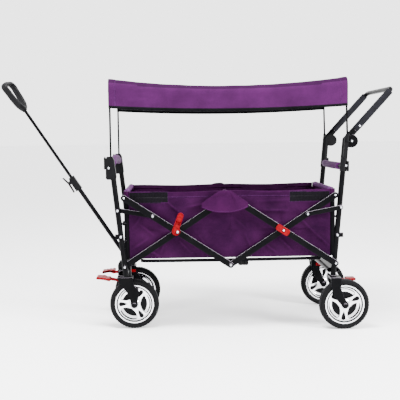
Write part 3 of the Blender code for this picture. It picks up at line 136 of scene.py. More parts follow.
# Camera angles in radians, and its focal length in pixels of a frame 400 wide
YAW, PITCH, ROLL = 0.033, 0.0834, 0.012
FOCAL_PIXELS, SENSOR = 795.55, 36.0
ahead = Vector((math.sin(YAW) * math.cos(PITCH), math.cos(YAW) * math.cos(PITCH), -math.sin(PITCH)))
level = Vector((math.cos(YAW), -math.sin(YAW), 0))
below = ahead.cross(level)
right = math.cos(ROLL) * level + math.sin(ROLL) * below
down = -math.sin(ROLL) * level + math.cos(ROLL) * below
lens = bpy.data.cameras.new("camera")
lens.lens, lens.sensor_width, lens.sensor_fit = FOCAL_PIXELS / 400 * SENSOR, SENSOR, "HORIZONTAL"
lens.clip_end = 200.0
camera = put("camera", lens)
camera.matrix_world = Matrix.Translation((-0.2547 + ORIGIN_X, -3.3489, 0.7857)) @ \
    Matrix((right, -down, -ahead)).transposed().to_4x4()
bpy.context.scene.camera = camera

# Steel frame: uprights, scissor bars, links, beams, forks, bows and tubes, cut from steel
# tube and strip, riveted or welded, and powder coated black. The coat is glossy with a
# faint orange peel, and its edges are scuffed thin and greyer. The upper edges of upright
# faces carry a painted highlight, a pale grey in the colour.


def add_node(tree, kind, inputs=None, stops=(), **settings):
    """Adds a node; stops are the two places and sRGB codes of a colour ramp."""
    made = tree.nodes.new("ShaderNode" + kind)
    for name, value in settings.items():
        setattr(made, name, value)
    feed(tree, made, inputs or {})
    for i, (place, code) in enumerate(stops):
        made.color_ramp.elements[i].position = place
        made.color_ramp.elements[i].color = linear(code)
    return made


def toned_finish(name, values, clouds, stops, gloss, grains, relief, bevel=None):
    """A finish whose clouds vary its colour and roughness, over a fine grain.

    clouds is the noise's scale and detail, grains lists one or two textures that add up,
    relief is the bump's strength and depth, bevel the radius of rounded edges and its samples.
    """
    finish, tree, shader = new_finish(name, values)
    where = add_node(tree, "TexCoord").outputs["Object"]
    tone = add_node(tree, "TexNoise", {"Vector": where, "Scale": clouds[0], "Detail": clouds[1]})
    if stops:
        feed(tree, shader, {"Base Color": add_node(tree, "ValToRGB", {"Fac": tone}, stops)})
    rough = add_node(tree, "MapRange", {"Value": tone, "To Min": gloss[0], "To Max": gloss[1]})
    height, *others = [add_node(tree, kind, {"Vector": where, **inputs}) for kind, inputs in grains]
    for other in others:
        height = add_node(tree, "Math", {0: height, 1: other}, operation="ADD")
    bump = add_node(tree, "Bump", {"Strength": relief[0], "Distance": relief[1], "Height": height})
    if bevel:
        feed(tree, bump, {"Normal": add_node(tree, "Bevel", {"Radius": bevel[0]}, samples=bevel[1])})
    feed(tree, shader, {"Roughness": rough, "Normal": bump})
    return finish


ORANGE_PEEL = ("TexNoise", {"Scale": 700.0, "Detail": 1.0})
powder_coat = toned_finish("black_powder_coated_steel", {"IOR": 1.5, "Specular IOR Level": 0.03}, (22.0, 4.0),
                           [(0.35, "#020203"), (0.7, "#050506")], (0.24, 0.42), [ORANGE_PEEL], (0.25, 0.0001),
                           (0.0028, 6))
tree = powder_coat.node_tree
shader = tree.nodes["Principled BSDF"]
rounded, black = tree.nodes["Bevel"], shader.inputs["Base Color"].links[0].from_socket
facing = add_node(tree, "NewGeometry").outputs["Normal"]
turn = add_node(tree, "VectorMath", {0: rounded, 1: facing}, operation="DOT_PRODUCT")
edge = add_node(tree, "MapRange", {"Value": turn, "From Min": 0.995, "From Max": 0.80})
where = add_node(tree, "TexCoord").outputs["Object"]
rub = add_node(tree, "TexNoise", {"Vector": where, "Scale": 160.0, "Detail": 3.0})
wear_and_painted_crease_light = add_node(tree, "Math", {0: edge, 1: rub}, operation="MULTIPLY")
coat = add_node(tree, "Mix", {"Factor": wear_and_painted_crease_light, "A": black, "B": linear("#1e1e23")}, data_type="RGBA")
# Painted highlight: the upper edges of upright faces are coloured pale grey where they catch the light
tilt = add_node(tree, "SeparateXYZ", {0: rounded}).outputs["Z"]
upper = add_node(tree, "MapRange", {"Value": tilt, "From Min": 0.22, "From Max": 0.55})
side_on = add_node(tree, "SeparateXYZ", {0: facing}).outputs["Z"]
flank = add_node(tree, "MapRange", {"Value": side_on, "From Min": 0.25, "From Max": 0.05})
painted_highlight_mask = add_node(tree, "Math", {0: upper, 1: flank}, operation="MULTIPLY")
painted_highlight_colour = add_node(tree, "Mix", {"Factor": painted_highlight_mask, "A": coat, "B": linear("#8d858f")}, data_type="RGBA")
feed(tree, shader, {"Base Color": painted_highlight_colour})

# Canopy bows and the sliding pull tube: thin round steel, powder coated in the same black,
# which turns no edge to the light and stays dark all round.

round_coat = toned_finish("black_coated_round_steel", {"IOR": 1.5, "Specular IOR Level": 0.02}, (22.0, 4.0),
                          [(0.35, "#020203"), (0.7, "#060607")], (0.35, 0.5), [ORANGE_PEEL], (0.2, 0.0001))

# Moulded black parts: canopy clamps, knuckles, caster housings and the pull bar's clamp,
# injection moulded from glass-filled nylon. Spark-eroded tools leave a fine grain, dull
# on the faces and a little brighter on the rounded edges.

nylon = toned_finish("black_moulded_nylon", {"IOR": 1.53, "Specular IOR Level": 0.05}, (40.0, 5.0),
                     [(0.3, "#040405"), (0.75, "#08080a")], (0.42, 0.58), [("TexVoronoi", {"Scale": 1300.0})],
                     (0.35, 0.0001), (0.0015, 4))

# Brake pedals, latch levers and the covers of the rear crossings: polypropylene dyed red
# through, with a satin skin off the mould and pale rounded edges.

MOULD_GRAIN = ("TexNoise", {"Scale": 900.0})
red_plastic = toned_finish("red_moulded_polypropylene", {"IOR": 1.49, "Specular IOR Level": 0.03}, (60.0, 4.0),
                           [(0.3, "#520208"), (0.75, "#6b040b")], (0.30, 0.45), [MOULD_GRAIN], (0.2, 0.0001),
                           (0.0012, 4))

CAD_FINISH = {"black_painted_steel": powder_coat, "black_moulded_plastic": nylon,
              "red_moulded_plastic": red_plastic}
ROUND_STEEL = ("front_bow", "rear_bow", "pull_inner_tube")
for part in frame["record"]["subparts"]:
    if part["material_slot"] in CAD_FINISH:
        skins = frame["nodes"][part["node"]].data.materials
        skins.clear()
        skins.append(round_coat if part["node"] in ROUND_STEEL else CAD_FINISH[part["material_slot"]])

# Tyres: solid tyres moulded from black polyurethane foam rubber, pushed over the rims. The
# tread has a rib in the middle and staggered side blocks; the sidewall is smooth and matt,
# and the blocks are a little dusty where they touch the ground.

tyre_rubber, tree, shader = new_finish("matt_tyre_rubber", {"IOR": 1.52, "Specular IOR Level": 0.05})
where = add_node(tree, "TexCoord").outputs["Object"]
axes = add_node(tree, "SeparateXYZ", {0: where}).outputs
flat = add_node(tree, "CombineXYZ", {"X": axes["X"], "Z": axes["Z"]})
reach = add_node(tree, "VectorMath", {0: flat}, operation="LENGTH")
dust = add_node(tree, "MapRange", {"Value": reach, "From Min": 0.0955, "From Max": 0.0995})
speck = add_node(tree, "TexNoise", {"Vector": where, "Scale": 120.0, "Detail": 5.0})
dusty = add_node(tree, "Math", {0: dust, 1: speck}, operation="MULTIPLY")
skin = add_node(tree, "Mix", {"Factor": dusty, "A": linear("#060607"), "B": linear("#19181b")}, data_type="RGBA")
gloss = add_node(tree, "MapRange", {"Value": speck, "To Min": 0.55, "To Max": 0.78})
pores = add_node(tree, "TexNoise", {"Vector": where, "Scale": 1400.0, "Detail": 2.0})
bump = add_node(tree, "Bump", {"Strength": 0.4, "Distance": 0.0002, "Height": pores})
feed(tree, shader, {"Base Color": skin, "Roughness": gloss, "Normal": bump})

MIRROR = {"left": -1, "right": 1}
TYRE_SIDES, BLOCK_SIDES, GROOVE = 250, 5, 0.0017
# Half section from the crown down the sidewall to the bore: distance from the middle, radius
TYRE_HALF = [(0.0, 0.1), (0.0035, 0.1), (0.0043, 0.0984), (0.0057, 0.0984), (0.0065, 0.0998), (0.0125, 0.0993),
             (0.0165, 0.0974), (0.0195, 0.0945), (0.0215, 0.0908), (0.0219, 0.0876), (0.0212, 0.0866),
             (0.0212, 0.0846), (0.0198, 0.0815), (0.0172, 0.0792), (0.0, 0.0792)]


def ring_faces(count, across, closed=False, turned=False):
    """Faces of a band of rings, capped at both ends where it isn't closed; turned flips them."""
    faces = [(i * across + j, i * across + (j + 1) % across,
              (i + 1) % count * across + (j + 1) % across, (i + 1) % count * across + j)
             for i in range(count if closed else count - 1) for j in range(across)]
    if not closed:
        faces += [tuple(range(across))[::-1], tuple(range((count - 1) * across, count * across))]
    return [corners[:1] + corners[:0:-1] for corners in faces] if turned else faces


def ringed(name, rings, finishes, closed=False, turned=False, **options):
    """Object from rings that all have the same number of points."""
    faces = ring_faces(len(rings), len(rings[0]), closed, turned)
    return object_from(name, [p for ring in rings for p in ring], faces, finishes, **options)


rings = []
for i in range(TYRE_SIDES):
    angle = 2 * math.pi * i / TYRE_SIDES
    ring = []
    for y, r in TYRE_HALF + [(-y, r) for y, r in TYRE_HALF[-2:0:-1]]:
        if (i + (3 if y > 0 else 0)) % BLOCK_SIDES == 0 and abs(y) > 0.006 and r > 0.092:
            r -= GROOVE
        ring.append((r * math.cos(angle), y, r * math.sin(angle)))
    rings.append(ring)
tyre = ringed("tyre_tread", rings, [tyre_rubber], closed=True)
tyre_mesh = tyre.data
bpy.data.objects.remove(tyre)
for end in ("front", "rear"):
    for label in MIRROR:
        low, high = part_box(f"tyre_{end}_{label}")
        made = put(f"treaded_tyre_{end}_{label}", tyre_mesh)
        made.location = (low + high) / 2
        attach(made, f"{end}_wheel_{label}")
        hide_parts(f"tyre_{end}_{label}")

# Rims: a black moulded wheel with a chromed plastic cover pressed on each side. A cover has
# a rolled outer ring and three broad spokes, each with a slot down its middle; the core
# shows black through the slots and the inner half of the gaps. The outer edge of each gap
# is black too, a band of painted shade under the outer ring.

chrome = toned_finish("bright_chromed_plastic", {"Metallic": 1.0, "Base Color": linear("#e9e9ec")}, (30.0, 5.0),
                      None, (0.05, 0.18), [("TexNoise", {"Scale": 110.0})], (0.12, 0.0004))
wheel_core = toned_finish("black_moulded_wheel_core", {"IOR": 1.5, "Specular IOR Level": 0.04}, (60.0, 4.0),
                          [(0.3, "#040405"), (0.8, "#09090b")], (0.45, 0.65), [MOULD_GRAIN], (0.3, 0.0001))

# Rows from the hub outwards, in millimetres and degrees: radius, height of the chromed face,
# half angle of a spoke and half angle of its slot. The gaps are closed where a spoke is 58 wide.
COVER_ROWS = [(5.0, 19.8, 58, 0), (9.0, 20.4, 58, 0), (13.0, 20.4, 58, 0), (14.6, 18.4, 58, 0),
              (19.0, 14.6, 58, 0), (22.5, 12.8, 58, 0), (24.5, 12.2, 48, 0), (28.0, 11.8, 37, 0),
              (32.0, 11.6, 29, 1.2), (36.0, 11.5, 25, 4.6), (41.0, 11.5, 22, 6.8), (46.0, 11.8, 20.5, 7.4),
              (51.0, 12.2, 20, 7.6), (56.0, 12.7, 20.5, 7.6), (59.6, 13.1, 22.5, 6.6), (61.6, 13.3, 25, 4.6),
              (63.4, 13.6, 29, 1.2), (64.4, 13.9, 36, 0), (65.0, 14.1, 46, 0), (65.4, 14.3, 58, 0),
              (67.4, 14.5, 58, 0), (68.0, 11.0, 58, 0), (71.8, 11.0, 58, 0), (72.4, 16.4, 58, 0),
              (73.6, 18.0, 58, 0), (76.0, 18.5, 58, 0), (77.8, 18.0, 58, 0), (78.6, 16.6, 58, 0)]
CLOSED = 58
# The outer part of a gap is a chromed bowl from BOWL to BOWL_RIM; past BOWL_RIM the gap is coloured black, painted
# shade under the outer ring
GAP_FLOOR, SLOT_FLOOR, WALL, BOWL, BOWL_RIM = 4.6, 7.4, 1.6, 46.5, 59.5


def cover_columns(half, slot):
    """Angles and kinds of the lines across one spoke and half the gap on either side."""
    rim = [(-60 + (60 - half) * i / 6, "gap") for i in range(7)]
    face = [(-half + WALL + (half - WALL - slot - WALL) * i / 5, "face") for i in range(6)]
    left = rim + face + [(-slot, "slot"), (0.0, "slot")]
    return left + [(-angle, kind) for angle, kind in left[-2::-1]]


rings, kinds = [], []
for radius, height, half, slot in COVER_ROWS:
    columns = cover_columns(half, slot)[:-1] * 3
    ring = []
    for number, (angle, kind) in enumerate(columns):
        y = height
        if half < CLOSED and kind == "gap":
            y = GAP_FLOOR + 4.5 * min(1.0, max(0.0, radius - BOWL) / 15.0) ** 1.5
        elif kind == "slot" and slot > 0:
            y = SLOT_FLOOR
        elif half < CLOSED and kind == "face":
            y = height + 0.5 * (abs(angle) - (half + slot) / 2) ** 2 / max(half - slot, 1) ** 2
        turn = math.radians(angle + 120 * (number * 3 // len(columns)))
        ring.append(Vector((radius * math.cos(turn), -y, radius * math.sin(turn))) / 1000)
    rings.append(ring)
    kinds.append([kind if half < CLOSED else "face" for angle, kind in columns])


def cover_finish(i, j):
    """0 for chrome and 1 for the black core, between rows i and i + 1; the black past BOWL_RIM in the gaps is painted
    shade.
    """
    radius, across = COVER_ROWS[i][0], len(rings[0])
    corners = [(i, j), (i, (j + 1) % across), (i + 1, (j + 1) % across), (i + 1, j)]
    around = [kinds[row][column] for row, column in corners]
    lowest = min(-rings[row][column].y for row, column in corners)
    return int(around.count("gap") >= 2 and lowest < 0.0105 and not BOWL < radius < BOWL_RIM
               or set(around) == {"gap", "face"} and 30 < radius < 65
               or around.count("slot") >= 2 and COVER_ROWS[i][3] > 0
               or 67.2 < radius < 72.0)


across = len(rings[0])
dark = [[cover_finish(i, j) for j in range(across)] for i in range(len(rings) - 1)]
finish_of = [shade for row in dark + [[0] * across] + dark[::-1] + [[1] * across] for shade in row]
rings += [[(x, -y, z) for x, y, z in ring] for ring in rings[::-1]]
cover = ringed("wheel_cover", rings, [chrome, wheel_core], closed=True, finish_of=finish_of)
crease = cover.modifiers.new("crisp_walls", "EDGE_SPLIT")
crease.split_angle = math.radians(38)
cover_mesh = bpy.data.meshes.new_from_object(cover.evaluated_get(bpy.context.evaluated_depsgraph_get()))
bpy.data.objects.remove(cover)
SPOKE_TURN = {"front_left": 60, "rear_left": 25, "front_right": 12, "rear_right": 84}
for name, degrees in SPOKE_TURN.items():
    low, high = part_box("rim_" + name)
    made = put("spoked_rim_" + name, cover_mesh.copy())
    made.data.transform(Matrix.Rotation(-math.radians(degrees), 4, "Y"))
    made.location = (low + high) / 2
    end, label = name.split("_")
    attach(made, f"{end}_wheel_{label}")
    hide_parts("rim_" + name)

# Rivet heads: steel with a bright zinc plate, pressed into low domes over every joint of the
# bars and links. The plate is slightly hammered and is the brightest thing on the frame.

zinc = toned_finish("bright_zinc_plate", {"Metallic": 1.0}, (260.0, 4.0), [(0.3, "#8b8d93"), (0.7, "#c9cbd0")],
                    (0.20, 0.38), [("TexNoise", {"Scale": 260.0, "Detail": 4.0})], (0.2, 0.0003))


def circle(radius, sides=28):
    return [(radius * math.cos(2 * math.pi * k / sides), radius * math.sin(2 * math.pi * k / sides))
            for k in range(sides)]


RIVET_DOME = [(0.0036, 0.0), (0.0040, 0.0002), (0.0042, 0.0006), (0.0039, 0.0012), (0.0030, 0.0019),
              (0.0019, 0.0024), (0.0008, 0.0026)]
# Place along and up, face that the head stands on, and the body that it belongs to
RIVETS = [(-0.4510, 0.2650, 0.2525, "front_frame"), (-0.4640, 0.3850, 0.2525, "front_frame"),
          (-0.4752, 0.4880, 0.2525, "front_frame"), (-0.4510, 0.5366, 0.2383, "front_cross_bars"),
          (-0.3389, 0.4638, 0.2413, "front_cross_bars"), (-0.2419, 0.4008, 0.2509, "front_cross_bars"),
          (-0.0328, 0.2650, 0.2413, "front_cross_bars"), (0.1764, 0.4008, 0.2483, "rear_bars"),
          (0.2734, 0.4638, 0.2413, "rear_cross_bars"), (0.3855, 0.5366, 0.2270, "rear_cross_bars"),
          (0.4058, 0.4880, 0.2413, "rear_braces"), (0.3855, 0.2650, 0.2416, "rear_frame"),
          (0.3955, 0.3750, 0.2195, "rear_frame"), (-0.5054, 0.6558, 0.2536, "front_frame"),
          (0.4511, 0.7490, 0.2223, "rear_frame"), (0.4290, 0.6522, 0.2210, "rear_frame"),
          (0.4835, 0.8084, 0.2192, "push_handle")]
for number, (x, z, face, body) in enumerate(RIVETS):
    for label, side in MIRROR.items():
        rings = [[(ORIGIN_X + x + a, side * (face + h), z + b) for a, b in circle(r, 24)] for r, h in RIVET_DOME]
        head = ringed(f"rivet_head_{number}_{label}", rings, [zinc], turned=side > 0)
        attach(head, body)

# Latch levers and crossing covers: red polypropylene. A lever turns on the front crossing's
# rivet and clicks over the bar to hold the frame open; its arm has a raised border round a
# hollow for the thumb. A cover is moulded over each rear crossing.

CROSSINGS = [(ORIGIN_X - 0.24187, 0.40081), (ORIGIN_X + 0.17637, 0.40081)]
LEVER_FOOT, LEVER_RUN, LEVER_HUB = (-0.0080, 0.0080), (0.0205, 0.0560), (-0.0060, 0.0030)
LEVER_MIDDLE, LEVER_BACK, LEVER_THICK = (-0.006, 0.010), 0.2386, 0.009
ARM_RADIUS, HUB_RADIUS = 0.0122, 0.0165


def along_lever(x, z):
    u, w = LEVER_RUN
    return ((x - LEVER_FOOT[0]) * u + (z - LEVER_FOOT[1]) * w) / (u * u + w * w)


def lever_reach(turn):
    """Distance from the lever's middle to its edge in one direction."""
    best = 0.0
    for k in range(1, 400):
        reach = k * 0.00025
        x, z = LEVER_MIDDLE[0] + math.cos(turn) * reach, LEVER_MIDDLE[1] + math.sin(turn) * reach
        share = min(1.0, max(0.0, along_lever(x, z)))
        arm = math.hypot(x - LEVER_FOOT[0] - LEVER_RUN[0] * share, z - LEVER_FOOT[1] - LEVER_RUN[1] * share)
        if arm < ARM_RADIUS or math.hypot(x - LEVER_HUB[0], z - LEVER_HUB[1]) < HUB_RADIUS:
            best = reach
    return best


def lever_height(x, z, from_edge):
    """Thickness of the lever where the edge is from_edge away: hollow, tip ridge, hub groove."""
    share = along_lever(x, z)
    inside = min(1.0, max(0.0, from_edge - 0.0026) / 0.0008)
    rise = LEVER_THICK - 0.0011 * max(0.0, 1 - from_edge / 0.0009) ** 2
    if share > 0.10:
        rise -= 0.0020 * inside * min(1.0, (share - 0.10) / 0.04)
        rise -= 0.0062 * inside * min(1.0, max(0.0, 0.11 - abs(share - 0.46)) / 0.012)
        rise += 0.0022 * inside * min(1.0, max(0.0, 0.16 - abs(share - 0.86)) / 0.02)
        rise -= 0.0030 * inside * math.exp(-((share - 0.86) / 0.03) ** 2)
    hub = math.hypot(x - LEVER_HUB[0], z - LEVER_HUB[1])
    rise -= 0.0020 * math.exp(-((hub - 0.0122) / 0.0011) ** 2) * (share < 0.14)
    return rise


RAYS, RINGS = 120, 30
turns = [2 * math.pi * k / RAYS for k in range(RAYS)]
middle = Vector(LEVER_MIDDLE)
border = [middle + Vector((math.cos(turn), math.sin(turn))) * lever_reach(turn) for turn in turns]
lever_rings = [[(spot.x, 0.0, spot.y) for spot in border]]
for i in range(RINGS):
    ring = []
    for spot in border:
        inner = middle + (spot - middle) * (1 - (i / RINGS) ** 1.5)
        from_edge = min((inner - other).length for other in border)
        ring.append((inner.x, lever_height(inner.x, inner.y, from_edge), inner.y))
    lever_rings.append(ring)
for label, side in MIRROR.items():
    rings = [[(CROSSINGS[0][0] + x, side * (LEVER_BACK + rise), CROSSINGS[0][1] + z) for x, rise, z in ring]
             for ring in lever_rings]
    lever = ringed("latch_arm_" + label, rings, [red_plastic], turned=side > 0)
    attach(lever, "latch_" + label)
    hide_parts("latch_lever_" + label)


def rounded_ring(length, width, radius, inset):
    """Outline of a block with rounded corners, drawn in by inset."""
    half_l, half_w = length / 2 - inset, width / 2 - inset
    radius = max(radius - inset, 0.0008)
    ring = []
    for quarter, (sx, sy) in enumerate(((1, 1), (-1, 1), (-1, -1), (1, -1))):
        for k in range(7):
            turn = math.pi / 2 * (quarter + k / 6)
            ring.append((sx * (half_l - radius) + radius * math.cos(turn),
                         sy * (half_w - radius) + radius * math.sin(turn)))
    return ring


BAR_FALL = math.radians(33)
COVER_SIZE, COVER_SHIFT = (0.0568, 0.0268, 0.0075), 0.0030
# Faces of the cover's steps outwards, and how far each one is drawn in
COVER_STEPS = [(0.2384, 0.0), (0.2452, 0.0), (0.2464, 0.0005), (0.2470, 0.0016), (0.2470, 0.0034),
               (0.2464, 0.0042), (0.2464, 0.0085)]
for label, side in MIRROR.items():
    rings = [[(CROSSINGS[1][0] + (u - COVER_SHIFT) * math.cos(BAR_FALL) + v * math.sin(BAR_FALL), side * face,
               CROSSINGS[1][1] - (u - COVER_SHIFT) * math.sin(BAR_FALL) + v * math.cos(BAR_FALL))
              for u, v in rounded_ring(*COVER_SIZE, inset)] for face, inset in COVER_STEPS]
    cover = ringed("crossing_cover_" + label, rings, [red_plastic], turned=side > 0)
    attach(cover, "rear_bars")

# Brake pedals of the front wheels: red polypropylene rockers, pinned on the inner side of the
# fork. The arm ends in a wide paddle with grip ribs that stands out in front of the tyre.

low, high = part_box("caster_pedal_right")
PEDAL_PIN = (high.x - 0.044, low.z + 0.012)
ARM_WIDE, ROUNDING = 0.006, 0.0008
PEDAL_ARM = [(0.044, 0.005), (0.030, 0.0062), (-0.055, 0.0), (-0.072, 0.004), (-0.101, -0.002), (-0.101, -0.012),
             (-0.072, -0.006), (-0.055, -0.012), (0.030, -0.0068), (0.044, -0.007)]
GRIP_RIBS = [(-0.0500 - 0.0035 * i, 0.0035 - 0.0004 * i + (0.0012 if i % 4 in (1, 2) else 0.0)) for i in range(15)]
PADDLE = [(-0.046, 0.0010), *GRIP_RIBS, (-0.1030, -0.0040), (-0.1040, -0.0075), (-0.1030, -0.0108),
          (-0.0980, -0.0112), (-0.0740, -0.0075), (-0.0500, -0.0068), (-0.0460, -0.0050)]
for label, side, lift in (("left", -1, math.radians(15.0)), ("right", 1, 0.0)):
    low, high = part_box("caster_pedal_" + label)
    inner, outer = (high.y, low.y) if side < 0 else (low.y, high.y)
    points, faces = [], []
    for outline, y0, y1 in ((PEDAL_ARM, inner, inner + side * ARM_WIDE), (PADDLE, inner, outer)):
        start, n = len(points), len(outline)
        centre = [sum(values) / n for values in zip(*outline)]
        for y, shrink in ((y0, ROUNDING), (y0 + side * ROUNDING, 0.0), (y1 - side * ROUNDING, 0.0), (y1, ROUNDING)):
            for spot in outline:
                x, z = (p - math.copysign(min(shrink, abs(p - c)), p - c) for p, c in zip(spot, centre))
                points.append((PEDAL_PIN[0] + x * math.cos(lift) + z * math.sin(lift), y,
                               PEDAL_PIN[1] - x * math.sin(lift) + z * math.cos(lift)))
        faces += [tuple(start + c for c in corners) for corners in ring_faces(4, n, turned=side < 0)]
    pedal = object_from("ribbed_pedal_" + label, points, faces, [red_plastic], smooth=False)
    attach(pedal, "caster_pedal_" + label)
    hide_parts("caster_pedal_" + label)

# Pull grip: a closed loop moulded in one piece with the neck that is pressed on the sliding
# tube, from black nylon with a softly polished top where the hand rubs it.

PULL_PIVOT = (ORIGIN_X - 0.458, 0.268)
PULL_REACH = 0.742
PULL_SLOPE = math.radians(56.6)
# The hand has left the grip turned a little about the bar
GRIP_TURN = math.radians(10.0)


def on_grip(along, aside, y):
    """Point of the grip from its place along the bar, aside of it and across the wagon."""
    out = aside * math.cos(GRIP_TURN) - y * math.sin(GRIP_TURN)
    return Vector((PULL_PIVOT[0] - along * math.cos(PULL_SLOPE) - out * math.sin(PULL_SLOPE),
                   aside * math.sin(GRIP_TURN) + y * math.cos(GRIP_TURN),
                   PULL_PIVOT[1] + along * math.sin(PULL_SLOPE) - out * math.cos(PULL_SLOPE)))


HALF_LOOP = [(0.010, 0.0), (0.016, 0.016), (0.034, 0.034), (0.062, 0.043), (0.095, 0.048), (0.114, 0.052),
             (0.127, 0.042), (0.132, 0.024), (0.132, 0.0)]
loop = [Vector(p) for p in HALF_LOOP + [(along, -y) for along, y in HALF_LOOP[-2:0:-1]]]
curve = []
for i in range(len(loop)):
    a, b, c, d = (loop[(i + k) % len(loop)] for k in (-1, 0, 1, 2))
    for t in (k / 7 for k in range(7)):
        curve.append(0.5 * ((2 * b) + (c - a) * t + (2 * a - 5 * b + 4 * c - d) * t * t +
                            (3 * b - a - 3 * c + d) * t ** 3))
rings = []
for i, place in enumerate(curve):
    heading = (curve[(i + 1) % len(curve)] - curve[i - 1]).normalized()
    ring = []
    for cosine, sine in circle(1.0, 24):
        flat = 0.0080 * math.copysign(abs(cosine) ** 0.8, cosine)
        deep = 0.0130 * math.copysign(abs(sine) ** 0.8, sine)
        # Finger dents under the cross bar
        if place.x > 0.118 and flat * -heading.y < 0:
            flat *= 1 - 0.07 * (1 + math.cos(place.y * 2 * math.pi / 0.021))
        ring.append(on_grip(PULL_REACH + place.x + flat * -heading.y, deep - 0.001, place.y + flat * heading.x))
    rings.append(ring)
grip_nylon = nylon.copy()
grip_nylon.name = "hand_polished_black_nylon"
grip_nylon.node_tree.nodes["Principled BSDF"].inputs["Specular IOR Level"].default_value = 0.07
grip = ringed("loop_pull_grip", rings, [grip_nylon], closed=True)
# Distance along the neck, and radius
NECK = [(0.0, 0.0095), (0.0008, 0.0105), (0.006, 0.0108), (0.0068, 0.0100), (0.0085, 0.0100), (0.0093, 0.0108),
        (0.020, 0.0112), (0.030, 0.0120), (0.036, 0.0105), (0.038, 0.0080)]
rings = [[on_grip(PULL_REACH + along, aside, y) for y, aside in circle(radius)] for along, radius in NECK]
neck = ringed("pull_grip_neck", rings, [nylon])
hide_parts("pull_grip")
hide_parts("pull_grip")
for piece in (grip, neck):
    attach(piece, "pull_slider")

# Foam grips: sleeves of closed-cell rubber foam pushed over the handle legs and the two
# grab bars, black on the handle and purple on the bars. The foam is matt with fine open
# pores on its cut skin, and it narrows a little towards its glued ends.


def foam_finish(name, deep, pale, sheen):
    """Foam with pores 0.7 mm across."""
    return toned_finish(name, {"IOR": 1.45, "Specular IOR Level": 0.06, "Sheen Weight": sheen, "Sheen Roughness": 0.5},
                        (70.0, 6.0), [(0.32, deep), (0.72, pale)], (0.62, 0.85),
                        [("TexVoronoi", {"Scale": 1400.0}), ("TexNoise", {"Scale": 160.0, "Detail": 3.0})],
                        (0.5, 0.0004))


black_foam = foam_finish("black_rubber_foam", "#09090c", "#101015", 0.01)
purple_foam = foam_finish("purple_rubber_foam", "#310f35", "#3e1544", 0.02)


def swept(name, path, section, finishes, up=(0, 0, 1), cut=None):
    """Sweeps section(i, share) along a path; a section is a ring of (aside, out) offsets."""
    path = [Vector(p) for p in path]
    rings = []
    for i, place in enumerate(path):
        heading = (path[min(i + 1, len(path) - 1)] - path[max(i - 1, 0)]).normalized()
        aside = heading.cross(Vector(up)).normalized()
        out = aside.cross(heading)
        rings.append([place + aside * a + out * b for a, b in section(i, i / (len(path) - 1))])
    made = ringed(name, rings, finishes, uvs=[cut(p) for ring in rings for p in ring] if cut else None)
    for cap in (-2, -1):
        made.data.polygons[cap].use_smooth = False
    return made


def foam_sleeve(name, path, radius, finish, body, node, up):
    def section(i, share):
        from_end = min(i, len(path) - 1 - i)
        shrink = [0.0022, 0.0009, 0.0002][from_end] if from_end < 3 else 0.0
        return circle(radius - shrink - 0.0003 * math.sin(share * 9.0) ** 2)

    made = swept(name, path, section, [finish], up=up)
    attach(made, body)
    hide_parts(node)


def stations(first, last, count):
    """Even stations with closer ones at both ends."""
    shares = [0.0, 0.006, 0.02] + [0.04 + 0.92 * i / (count - 1) for i in range(count)] + [0.98, 0.994, 1.0]
    return [Vector(first).lerp(Vector(last), share) for share in shares]


LEG_HEADING = Vector((math.cos(math.radians(47.5)), 0, math.sin(math.radians(47.5))))
LEG_FOAM, LEG_OVERLAP, LEG_LONGER = 0.0139, 0.014, 0.018
for label in MIRROR:
    low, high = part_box("push_handle_foam_" + label)
    y = (low.y + high.y) / 2
    first = (low.x + LEG_OVERLAP * LEG_HEADING.z, y, low.z + LEG_OVERLAP * LEG_HEADING.x)
    last = Vector((high.x - LEG_OVERLAP * LEG_HEADING.z, y, high.z - LEG_OVERLAP * LEG_HEADING.x))
    foam_sleeve("handle_grip_" + label, stations(first, last + LEG_HEADING * LEG_LONGER, 22), LEG_FOAM, black_foam,
                "push_handle", "push_handle_foam_" + label, (0, 1, 0))

GRAB_FOAM, GRAB_RADIUS, GRAB_SHARE = 0.0149, 0.015, 0.82
for end, body, rise in (("front", "front_frame", (0, 0.025)), ("rear", "rear_frame", (-0.011, 0))):
    low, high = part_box(f"{end}_grab_foam")
    half = high.y / GRAB_SHARE
    if end == "front":
        x, z = (low.x + high.x) / 2, high.z - GRAB_RADIUS - rise[1]
    else:
        x, z = low.x + GRAB_RADIUS - rise[0], (low.z + high.z) / 2
    shares = [GRAB_SHARE * (2 * p.x - 1) for p in stations((0, 0, 0), (1, 0, 0), 26)]
    path = [(x + rise[0] * (1 - s * s), half * s, z + rise[1] * (1 - s * s)) for s in shares]
    foam_sleeve(f"{end}_grab_grip", path, GRAB_FOAM, purple_foam, body, f"{end}_grab_foam",
                (1, 0, 0) if end == "front" else (0, 0, 1))

# Canopy: one piece of coated polyester, sewn with a pocket at each end that slides over a
# bow. It hangs down on both sides as a skirt with a black bound edge, sags between the bows
# and has a grey coating inside.


